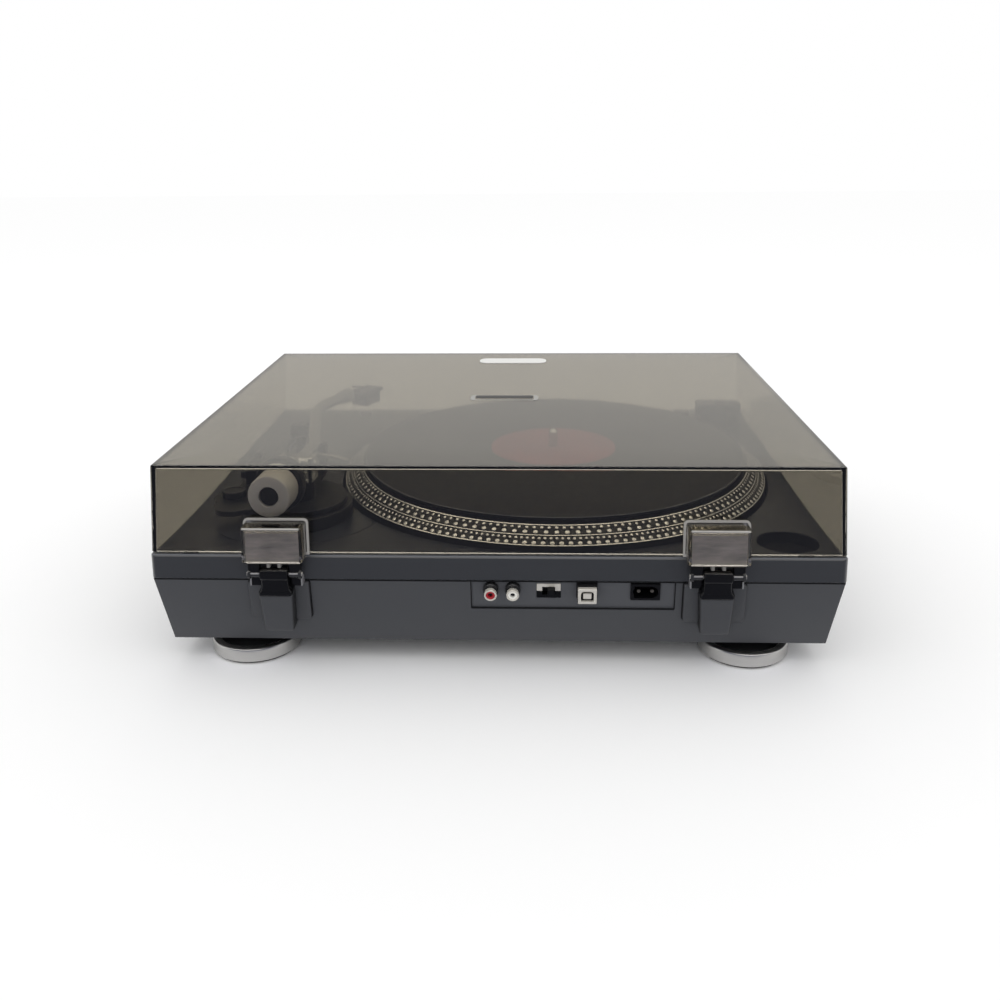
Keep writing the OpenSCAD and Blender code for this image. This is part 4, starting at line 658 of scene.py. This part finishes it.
class TURNTABLE_OT_connectors(bpy.types.Operator):
    """Turned jacks, switch, data socket and mains inlet in the rear panel"""

    bl_idname = "turntable.connectors"
    bl_label = "Connectors"

    def execute(self, context):
        black = finish("Socket black plastic", (0.011, 0.011, 0.012), 0.28, grain=1800, bump=0.05)
        nickel, half = (finish(name, (0.85, 0.81, 0.72), 0.25, 0.5, grain=2500, bump=0.03)
                        for name in ("Bright nickel", "Switch frame nickel"))
        red = finish("Red insulator", (0.36, 0.012, 0.02), 0.3, grain=1500)
        white = finish("White insulator", (0.78, 0.77, 0.72), 0.32, grain=1500, mottle=0.03)
        deep = finish("Inlet deep black", (0.004, 0.004, 0.0045), 0.3, grain=1800, bump=0.05, specular=0.25)
        dress(black, "usb_body")
        dress(deep, "mains_inlet", "switch_slider")
        dress(finish("Inlet pin brass", (0.3, 0.27, 0.2), 0.3, 1.0, grain=2000), "inlet_pins")
        dress(split(half, middle("switch_frame")[2] - 0.6, (0.005, 0.005, 0.005)), "switch_frame")
        sunk, jack_up, socket_up, switch_up = -1.0, -6.0, -7.3, -7.8
        # A jack is a turned body, with a black disc of painted shade at the bottom of its cup's hole, a
        # nickel shell and a coloured cup
        body = [(0, -14), (3.8, -14), (3.8, -9), (4.6, -9), (4.6, 1), (5.0, 1.4), (5.0, 3.6), (4.6, 4),
                (4.6, 5.2), (3.8, 5.2), (3.8, 6), (0, 6)]
        body = turned(soften(body, [0.4, 0.2, 0.2, 0.2, 0.2, 0.3, 0.3, 0.3, 0.2, 0.2], 4), 64)
        # A black disc of painted shade in the bottom of the cup's hole
        core = turned([(0.01, 6.5), (1.5, 6.5), (1.5, 6.75), (0.01, 6.75)], 32)
        shell = [(3.5, 9), (4.0, 9), (4.0, 6), (3.0, 6), (3.0, 9), (3.5, 9)]
        shell = looped(soften(shell, 0.3, 4)[:-1], 64)
        cup = [(2.3, 8.5), (2.98, 8.5), (2.98, 6.0), (0.02, 6.0), (0.02, 6.6), (1.6, 6.6), (1.6, 8.5),
               (2.3, 8.5)]
        cup = looped(soften(cup, [0.2, 0.2, 0.005, 0.005, 0.1, 0.35], 4)[:-1], 48)
        bodies, shells = [], []
        for node, tint, slot in (("jack_cup_red", red, "red_plastic"),
                                 ("jack_cup_white", white, "white_plastic")):
            x = middle(node)[0]
            bodies += [leaning(k, x, jack_up, sunk) for k in (body, core)]
            shells.append(leaning(shell, x, jack_up, sunk))
            piece(node + "_turned", [leaning(cup, x, jack_up, sunk)], "chassis", tint, [node])
        piece("jack_body_pair", bodies, "chassis", black, ["jack_bodies"])
        piece("jack_shell_pair", shells, "chassis", nickel, ["jack_shells"])
        # The data socket is a metal frame round a well with a tongue, in a dark gap
        x = middle("usb_shell")[0]
        hole = (2.0, 2.0, 0.6, 0.6)
        rings = [mouth(12.0, 11.1, 0.5, 3), mouth(12.0, 11.1, 0.5, 3), mouth(11.6, 10.7, 0.5, 3),
                 mouth(8.9, 8.0, hole, 3), mouth(8.4, 7.5, hole, 3), mouth(8.4, 7.5, hole, 3)]
        metal = stacked(rings, [0, 2.3, 2.6, 2.6, 2.35, 0.6])
        rings = [mouth(5.2, 4.0, 0.4, 3), mouth(5.2, 4.0, 0.4, 3), mouth(4.6, 3.4, 0.3, 3)]
        tongue = stacked(rings, [0.4, 1.9, 2.2])
        well = stacked([mouth(8.3, 7.4, hole, 3)] * 2, [0.62, 0.7])
        gap = hoop(mouth(13.6, 12.7, 0.7, 3), mouth(11.9, 11.0, 0.5, 3), -5.6, -4.9)
        face, recess = ([leaning(k, x, socket_up, sunk + 5.0) for k in pair]
                        for pair in ((metal, tongue), (well, gap)))
        piece("data_socket_face", face, "chassis", nickel, ["usb_shell"], 30)
        piece("data_socket_well", recess, "chassis", deep)
        well = stacked([mouth(8.3, 5.8, 0.4, 3)] * 2, [-3.95, -3.75])
        well = leaning(well, middle("switch_frame")[0], switch_up, sunk)
        piece("switch_well", [well], "chassis", black)
        return {"FINISHED"}


class TURNTABLE_OT_platter(bpy.types.Operator):
    """Platter with its dotted strobe band, mat, record, label and spindle"""

    bl_idname = "turntable.platter"
    bl_label = "Platter"

    def execute(self, context):
        look = context.scene.turntable_platter
        cx, cy, _ = middle("platter")
        dark = finish("Platter dark metal", (0.012, 0.0115, 0.011), 0.4, 0.1, grain=2200,
                      stretch=(1, 1, 0.1))
        silver = finish("Strobe silver", (0.95, 0.95, 0.95), 0.24, 0.75, grain=2500, bump=0.02)
        dress(dark, "platter")
        low_r, high_r, slant = 166.5, 152.5, 17.2
        z1 = high("platter")[2]
        z0 = z1 - 10.0

        def dots(count, t, wide, tall, rise, shift):
            """A row of domes on the slanted band: at fraction t up the slope, each an ellipse of
            half sizes wide and tall, raised by rise times one less its squared radius."""
            a = (np.arange(count) + shift) * 2 * np.pi / count
            out = np.stack([np.cos(a), np.sin(a), 0 * a], -1)
            side = np.stack([-np.sin(a), np.cos(a), 0 * a], -1)
            slope = np.array([high_r - low_r, z1 - z0]) / math.hypot(high_r - low_r, z1 - z0)
            up = out * slope[0] + np.array([0, 0, slope[1]])
            face = out * slope[1] + np.array([0, 0, -slope[0]])
            spot = out * (low_r + t * (high_r - low_r)) + np.array([0, 0, z0 + t * (z1 - z0)])
            q = np.arange(8) * np.pi / 4
            rho = np.array([1.0, 0.72, 0.0])[:, None]
            e = (rho * np.cos(q)).ravel() * wide
            s = (rho * np.sin(q)).ravel() * tall
            n = np.broadcast_to((1 - rho ** 2) * rise - 0.02, (3, 8)).ravel()
            v = (spot[:, None] + side[:, None] * e[None, :, None] + up[:, None] * s[None, :, None]
                 + face[:, None] * n[None, :, None]).reshape(-1, 3)
            f = (quads(3, 8)[None] + 24 * np.arange(count)[:, None, None]).reshape(-1, 4)
            return moved((v, f), cx, cy)

        def line(t, half):
            """A thin raised ring on the band at fraction t up the slope."""
            t = t + np.array([-half, -half, half, half]) / slant
            lift = np.array([-0.05, 0.12, 0.12, -0.05])
            r = low_r + t * (high_r - low_r) + lift * 0.58
            z = z0 + t * (z1 - z0) + lift * 0.81
            return moved(looped(np.stack([r, z], -1), 256), cx, cy)

        rows = [dots(look.coarse, 0.15, 1.6, 1.5, 0.35, 0), dots(look.fine, 0.37, 1.0, 1.0, 0.25, 0.5),
                dots(int(look.coarse * 0.835), 0.65, 1.6, 1.5, 0.35, 0.25),
                dots(int(look.fine * 0.75), 0.86, 1.1, 1.05, 0.25, 0)]
        lines = [line(0.03, 0.35), line(0.5, 0.3), line(0.97, 0.35)]
        piece("strobe_dots", rows, "platter_group", silver)
        piece("strobe_lines", lines, "platter_group", silver)
        dress(finish("Mat felt", (0.014, 0.014, 0.015), 0.92, grain=1600, bump=0.3, sheen=0.3), "mat")
        # The record is a disc with a softened rim, and a paler bead on its edge as a painted highlight
        top, under = high("record")[2], low("record")[2]
        r = (high("record")[0] - low("record")[0]) / 2
        hole, label_r = 3.78, 50.05
        vinyl = finish("Vinyl", (0.0115, 0.012, 0.016), 0.34, grain=300, bump=0.0, specular=0.3)
        grooves(vinyl, (cx, cy), 0.45, 0.1)
        disc = [(label_r, top - 0.2), (label_r, top), (r - 4, top), (r - 2.5, top), (r, top), (r, under),
                (hole, under), (hole, top - 0.2)]
        disc = moved(looped(soften(disc, [0.1, 1, 1, 0.7, 0.7, 0.3], 4), 256), cx, cy)
        piece("record_disc", [disc], "platter_group", vinyl, ["record"])
        edge = finish("Vinyl painted edge highlight", (0.15, 0.15, 0.16), 0.18, grain=900, bump=0.0)
        a = np.arange(12) * np.pi / 6
        highlight_bead = looped(np.stack([r - 0.75 + 0.7 * np.cos(a), top - 0.35 + 0.5 * np.sin(a)], -1), 256)
        piece("record_edge_highlight", [moved(highlight_bead, cx, cy)], "platter_group", edge)
        dress(finish("Label paper", look.label, 0.7, grain=700, bump=0.08, mottle=0.05), "record_label")
        steel = finish("Spindle steel", (0.62, 0.62, 0.63), 0.18, 1.0, grain=2500, stretch=(0.05, 0.05, 1))
        dress(steel, "spindle")
        return {"FINISHED"}


class TURNTABLE_OT_arm(bpy.types.Operator):
    """Tonearm: S shaped tube, counterweight, dials, knurled height ring and headshell"""

    bl_idname = "turntable.arm"
    bl_label = "Tonearm"

    def execute(self, context):
        silver = finish("Arm satin silver", (0.5, 0.5, 0.51), 0.22, 1.0, grain=2500, bump=0.04)
        bright = finish("Arm bright silver", (0.82, 0.82, 0.81), 0.25, 1.0, grain=2500, bump=0.04)
        warm = finish("Weight satin nickel", (0.95, 0.93, 0.89), 0.42, 0.0, grain=2600, bump=0.08,
                      stretch=(0.03, 1, 0.03))
        black = finish("Arm base black", (0.014, 0.014, 0.015), 0.36, grain=2200, bump=0.06)
        dark = finish("Dark anodised", (0.07, 0.07, 0.075), 0.35, 0.7, grain=2400)
        pivot = middle("height_ring")[:2]
        at = np.array([*pivot, 112.0])
        # The tube runs straight, bends out, runs on, and bends back past straight to the head's offset.
        # The straight run and the last stretch follow from the arm's length and its two side steps
        park, offset, out = math.radians(3.6), math.radians(22), math.radians(15)
        bend, first, length, head, back, tube_r = 70.0, 35.0, 226.5, 38.0, 12, 4.6
        side_step = bend * (2 * math.cos(out) - 1 - math.cos(offset))
        long_step = length - first - bend * (2 * math.sin(out) + math.sin(offset))
        run = (side_step * math.cos(offset) + long_step * math.sin(offset)) / math.sin(out + offset)
        last = (long_step - run * math.cos(out)) / math.cos(offset) - head
        heading = np.concatenate([np.zeros(2), np.linspace(0, out, 14), np.full(2, out),
                                  np.linspace(out, -offset, 28), np.full(2, -offset)])
        step = np.concatenate([[0, 0, first + back], np.full(13, bend * out / 13), [0], [run, 0],
                               np.full(27, bend * (out + offset) / 27), [0], [last]])[:len(heading)]
        x = np.cumsum(step * np.sin(heading))
        y = back - np.cumsum(step * np.cos(heading))
        keep = np.concatenate([[True], np.hypot(np.diff(x), np.diff(y)) > 1e-6])
        v, f = swept(np.stack([x, y, 0 * x], -1)[keep], tube_r, 28)
        tube = moved((turn_level(v, -park), f), *at)

        def on_shaft(shape, axis=(math.sin(park), math.cos(park))):
            """A turned shape put on the rear shaft, or on another level axis through the pivot."""
            v, f = shape
            return along(v, axis) + at, f

        shaft = on_shaft(turned(soften([(0, 8), (4, 8), (4, 58.2), (0, 58.2)], 0.4), 40))
        hub = turned(soften([(0, -8.8), (4.8, -8.8), (4.8, 8.8), (0, 8.8)], 0.5), 40)
        hub = on_shaft(hub, (math.cos(park), -math.sin(park)))
        piece("arm_s_tube", [tube, shaft, hub], "arm", silver, ["arm_tube"])
        weight = [(4.1, 50), (4.1, 42), (14.2, 42), (14.2, 63), (6.6, 63), (6.6, 57.9), (4.1, 57.9),
                  (4.1, 50)]
        weight = looped(soften(weight, [0.3, 1.4, 1.4, 0.7, 0.3, 0.3], 4)[:-1], 128)
        piece("weight_body", [on_shaft(weight)], "weight", warm, ["counterweight"])
        dial = [(4.1, 37), (4.1, 34.3), (17.0, 34.3), (17.0, 41.7), (4.1, 41.7), (4.1, 37)]
        dial = looped(soften(dial, 0.6, 4)[:-1], 180, knurl(0.2, 60, 8, 17))
        piece("force_dial_body", [on_shaft(dial)], "force", black, ["force_dial"])
        cap = on_shaft(turned(soften([(0, 58.2), (6.2, 58.2), (6.2, 61.8), (0, 61.8)], 0.6), 64))
        cap_black = finish("Shaft cap black", (0.012, 0.012, 0.012), 0.3)
        piece("shaft_cap_turned", [cap], "arm", cap_black, ["shaft_cap"])
        tilt = park + offset
        collar = [(4.66, 0), (4.66, -6), (6.0, -6), (6.0, 6), (4.66, 6), (4.66, 0)]
        v, f = looped(soften(collar, [0.2, 0.7, 0.7, 0.2], 4)[:-1], 144, knurl(0.18, 36, 7, 13))
        collar = moved((along(v, (math.sin(tilt), math.cos(tilt))), f), *middle("head_collar"))
        piece("head_collar_knurled", [collar], "collar", silver, ["head_collar"])
        x, y, _ = middle("anti_skate_dial")
        z0, z1 = low("anti_skate_dial")[2], high("anti_skate_dial")[2]
        dial = [(0, z0), (2, z0), (2, z1 - 4.6), (8.3, z1 - 4.6), (8.3, z1), (6.6, z1), (6.2, z1 - 0.6),
                (0, z1 - 0.6)]
        dial = turned(soften(dial, [0.3, 0.2, 0.4, 0.7, 0.2, 0.2], 4), 192, knurl(0.18, 48, 13, 19))
        piece("anti_skate_knurled", [moved(dial, x, y)], "anti_skate", black,
              ["anti_skate_dial"])
        z0, z1 = low("height_ring")[2], high("height_ring")[2]
        z_mid, inner_r, outer_r = (z0 + z1) / 2, 30.1, 38.7
        ring = [(inner_r, z_mid), (inner_r, z0), (outer_r, z0), (outer_r, z1), (inner_r, z1),
                (inner_r, z_mid)]
        ring = looped(soften(ring, [0.3, 0.8, 0.8, 0.3], 3)[:-1], 480, knurl(0.08, 120, 5, 12))
        piece("height_ring_knurled", [moved(ring, *pivot)], "height_ring_body", black,
              ["height_ring"])
        dress(black, "arm_mount", "arm_plate")
        dress(bright, "arm_lift")
        # The yoke is a turned stem with a flange, and two cheeks on it
        z0, z1 = low("gimbal_yoke")[2], high("gimbal_yoke")[2]
        flange, flange_top = z0 + 9.3, z0 + 12.3
        stem = [(0, z0), (6, z0), (6, flange), (12.5, flange), (12.5, flange_top), (0, flange_top)]
        yoke = [moved(turned(soften(stem, [0.3, 0.1, 0.6, 0.8], 4), 96), *pivot)]
        for side in (-11.4, 11.4):
            v, f = moved(soft_block(3.6, 14.0, flange, z1, 0.9, 1.0), side, 0)
            yoke.append(moved((turn_level(v, -park), f), *pivot))
        piece("gimbal_yoke_rounded", yoke, "gimbal", bright, ["gimbal_yoke"])
        dress(finish("Pivot screw steel", (0.6, 0.6, 0.61), 0.2, 1.0), "pivot_screws")
        dress(dark, "cue_lever", "headshell")
        dress(finish("Cartridge black", (0.012, 0.012, 0.013), 0.3), "cartridge")
        dress(finish("Stylus red", (0.42, 0.03, 0.02), 0.3), "stylus")
        return {"FINISHED"}


class TURNTABLE_OT_controls(bpy.types.Operator):
    """Strobe tower, knurled knob, rounded buttons, pitch slider and pop up lamp"""

    bl_idname = "turntable.controls"
    bl_label = "Controls"

    def execute(self, context):
        dark = finish("Tower dark metal", (0.05, 0.05, 0.053), 0.34, 0.5, grain=2400)
        grey = finish("Button satin grey", (0.22, 0.22, 0.23), 0.35, 0.6, grain=2400, stretch=(0.1, 1, 1))
        black = finish("Slider black", (0.016, 0.016, 0.017), 0.4, grain=2000)
        pale = finish("Index pale paint", (0.7, 0.7, 0.68), 0.5, grain=1500)
        dress(dark, "strobe_tower")
        dress(grey, "pop_up_lamp")
        for node, body, corner in (("start_button", "start", 2.6), ("speed_button_33", "speed_33", 1.6),
                                   ("speed_button_45", "speed_45", 1.6)):
            lo, hi = low(node), high(node)
            cap = soft_block(hi[0] - lo[0], hi[1] - lo[1], lo[2], hi[2], corner, 0.7)
            cap = moved(cap, *((lo + hi) / 2)[:2])
            piece(node + "_cap", [cap], body, grey, [node])
        x, y, _ = middle("power_knob")
        z0, z1 = low("power_knob")[2], high("power_knob")[2]
        knob = [(0, z0), (2.5, z0), (2.5, z1 - 8), (10.8, z1 - 8), (10.8, z1), (9.2, z1), (8.6, z1 - 0.5),
                (0, z1 - 0.5)]
        knob = turned(soften(knob, [0.3, 0.2, 0.4, 0.9, 0.3, 0.3], 4), 240, knurl(0.18, 60, 13, 19))
        piece("power_knob_knurled", [moved(knob, x, y)], "power", dark, ["power_knob"])
        mark = moved(soft_block(1.2, 6.0, z1 - 0.6, z1 - 0.2, 0.5, 0.1), x, y - 5)
        piece("power_index", [mark], "power", pale)
        # The pitch knob's cap is a waisted stack with a dished top, on a square stem
        lo, hi = low("pitch_knob"), high("pitch_knob")
        x, y, _ = (lo + hi) / 2
        z0 = hi[2] - 8
        tall = np.array([0, 0.5, 4.0, 7.0, 7.8, 8.0, 7.5, 7.2])
        tuck = np.array([0.3, 0.0, 0.6, 1.0, 1.5, 2.2, 3.4, 4.6])
        cap = stacked([mouth(16 - 1.2 * t, 11 - 2 * t, 1.0) for t in tuck], z0 + tall)
        stem = stacked([mouth(4, 6, 0.5)] * 2, [lo[2], z0 + 0.4])
        piece("pitch_knob_cap", [moved(k, x, y) for k in (cap, stem)], "pitch", black,
              ["pitch_knob"])
        mark = moved(soft_block(9.0, 0.9, z0 + 6.9, z0 + 7.35, 0.3, 0.1), x, y)
        piece("pitch_index", [mark], "pitch", pale)
        return {"FINISHED"}


class TURNTABLE_OT_inside(bpy.types.Operator):
    """Motor, bearing and boards inside the plinth"""

    bl_idname = "turntable.inside"
    bl_label = "Inside"

    def execute(self, context):
        board = finish("Board green", (0.02, 0.11, 0.05), 0.35, grain=500, mottle=0.15)
        dress(board, "motor_board", "main_board", "control_board")
        copper = finish("Coil copper", (0.5, 0.2, 0.07), 0.35, 0.9, grain=2200, stretch=(0.1, 0.1, 1))
        dress(copper, "stator_coils")
        dress(finish("Magnet dark", (0.04, 0.04, 0.044), 0.5, 0.3), "rotor_magnet")
        dress(finish("Bearing bronze", (0.5, 0.33, 0.12), 0.3, 1.0, grain=2000), "bearing")
        dress(finish("Slider body steel", (0.5, 0.5, 0.51), 0.4, 1.0), "fader_body")
        return {"FINISHED"}


class TURNTABLE_OT_stage(bpy.types.Operator):
    """Pale floor, soft studio light, white surroundings and the camera"""

    bl_idname = "turntable.stage"
    bl_label = "Stage"

    def execute(self, context):
        scene = context.scene
        scene.view_settings.view_transform = "Standard"
        world = bpy.data.worlds.new("White studio")
        scene.world = world
        world.use_nodes = True
        set_inputs(world.node_tree.nodes["Background"], {"Color": (1, 1, 1, 1), "Strength": 1.0})

        def sheet(name, points, faces, material):
            """A flat stage object from corners in metres."""
            mesh = bpy.data.meshes.new(name)
            mesh.from_pydata(points, [], faces)
            mesh.materials.append(material)
            obj = bpy.data.objects.new(name, mesh)
            scene.collection.objects.link(obj)
            return obj

        s = 6.0
        white = (0.985, 0.985, 0.985, 1)
        paint, _, _ = plain("Pale floor", Base_Color=white, Specular_IOR_Level=0.0, Roughness=0.9)
        sheet("floor", [(-s, -s, 0), (s, -s, 0), (s, s, 0), (-s, s, 0)], [(0, 1, 2, 3)], paint)

        # A soft light from above, aimed at the middle of the part
        light = bpy.data.lights.new("top_softbox", "AREA")
        light.shape = "RECTANGLE"
        light.size, light.size_y, light.energy = 2.4, 2.0, 4.5
        lamp = bpy.data.objects.new("top_softbox", light)
        where = np.array([0.2, 0.3, 2.2])
        toward = np.array([0, 0, 0.05]) - where
        toward /= np.linalg.norm(toward)
        right = np.cross(toward, [0, 0, 1])
        right /= np.linalg.norm(right)
        up = np.cross(right, toward)
        lamp.matrix_world = stance(right, up, -toward, where)
        scene.collection.objects.link(lamp)

        def card(name, points, glow, tint, high=None, through=None):
            """A glowing studio card that only shows in reflections and through the cover. Its glow can
            rise to another level between half a metre and one and a half up, or differ for light
            scattered on its way."""
            black = (0, 0, 0, 1)
            paint, tree, shader = plain(name, Base_Color=black, Roughness=1.0, Emission_Color=(*tint, 1))
            level = add_node(tree, "MapRange", To_Min=glow, To_Max=high or through or glow)
            if through:
                cause = add_node(tree, "LightPath").outputs["Diffuse Depth"]
            else:
                set_inputs(level, {"From_Min": 0.5, "From_Max": 1.5})
                cause = coordinate(tree, "Z")
            tree.links.new(cause, level.inputs["Value"])
            tree.links.new(level.outputs["Result"], shader.inputs["Emission Strength"])
            n = len(points) // 2
            obj = sheet(name, points, [(k, k + 1, n + k + 1, n + k) for k in range(n - 1)], paint)
            for kind in ("camera", "diffuse", "shadow", "volume_scatter"):
                setattr(obj, "visible_" + kind, False)

        warm, cool = (1.0, 0.98, 0.95), (0.95, 1.0, 1.35)
        front = [(x, -2.4, z) for z in (0.0, 2.0) for x in (-3, 3)]
        card("bright_card", front, 0.67, warm, high=0.95)
        above = [(x, y, 1.7) for y in (-0.9, 0.9) for x in (-1.5, 1.5)]
        card("overhead_card", above, 3.0, warm)
        sweep = [(0.195, 0.002), (1.3, 0.002), (1.5, 0.2), (1.5, 2.5)]
        card("grey_card", [(x, y, z) for x in (-3, 3) for y, z in sweep], 0.16, cool, through=0.9)

        # The camera stands where the photograph was taken from
        camera = bpy.data.cameras.new("camera")
        camera.sensor_width = 36
        camera.lens = 35.986
        camera.shift_x = 0.0003
        camera.shift_y = -0.15
        view = bpy.data.objects.new("camera", camera)
        right = np.array([-0.999263, -0.03723, -0.009344])
        down = np.array([0.001564, 0.203756, -0.97902])
        ahead = np.array([0.038353, -0.978314, -0.203547])
        spot = np.array([-0.0279, 0.77236, 0.33829])
        view.matrix_world = stance(right, -down, -ahead, spot)
        scene.collection.objects.link(view)
        scene.camera = view
        return {"FINISHED"}


class TURNTABLE_PT_panel(bpy.types.Panel):
    """The turntable's pieces"""

    bl_idname = "TURNTABLE_PT_panel"
    bl_label = "Turntable"
    bl_space_type = "VIEW_3D"
    bl_region_type = "UI"
    bl_category = "Turntable"

    def draw(self, context):
        scene = context.scene
        for settings in (scene.turntable_cover, scene.turntable_case, scene.turntable_platter):
            for key in settings.bl_rna.properties.keys():
                if key not in {"rna_type", "name"}:
                    self.layout.prop(settings, key)
        for op in OPERATORS:
            self.layout.operator(op.bl_idname)


GROUPS = (TurntableCover, TurntableCase, TurntablePlatter)
OPERATORS = (TURNTABLE_OT_cover, TURNTABLE_OT_case, TURNTABLE_OT_hinges, TURNTABLE_OT_feet,
             TURNTABLE_OT_connectors, TURNTABLE_OT_platter, TURNTABLE_OT_arm, TURNTABLE_OT_controls,
             TURNTABLE_OT_inside, TURNTABLE_OT_stage)


def register():
    for c in GROUPS + OPERATORS + (TURNTABLE_PT_panel,):
        bpy.utils.register_class(c)
    bpy.types.Scene.turntable_cover = PointerProperty(type=TurntableCover)
    bpy.types.Scene.turntable_case = PointerProperty(type=TurntableCase)
    bpy.types.Scene.turntable_platter = PointerProperty(type=TurntablePlatter)


def unregister():
    del bpy.types.Scene.turntable_cover
    del bpy.types.Scene.turntable_case
    del bpy.types.Scene.turntable_platter
    for c in reversed(GROUPS + OPERATORS + (TURNTABLE_PT_panel,)):
        bpy.utils.unregister_class(c)


def main():
    register()
    for op in OPERATORS:
        group, name = op.bl_idname.split(".")
        getattr(getattr(bpy.ops, group), name)()


if __name__ == "__main__":
    main()
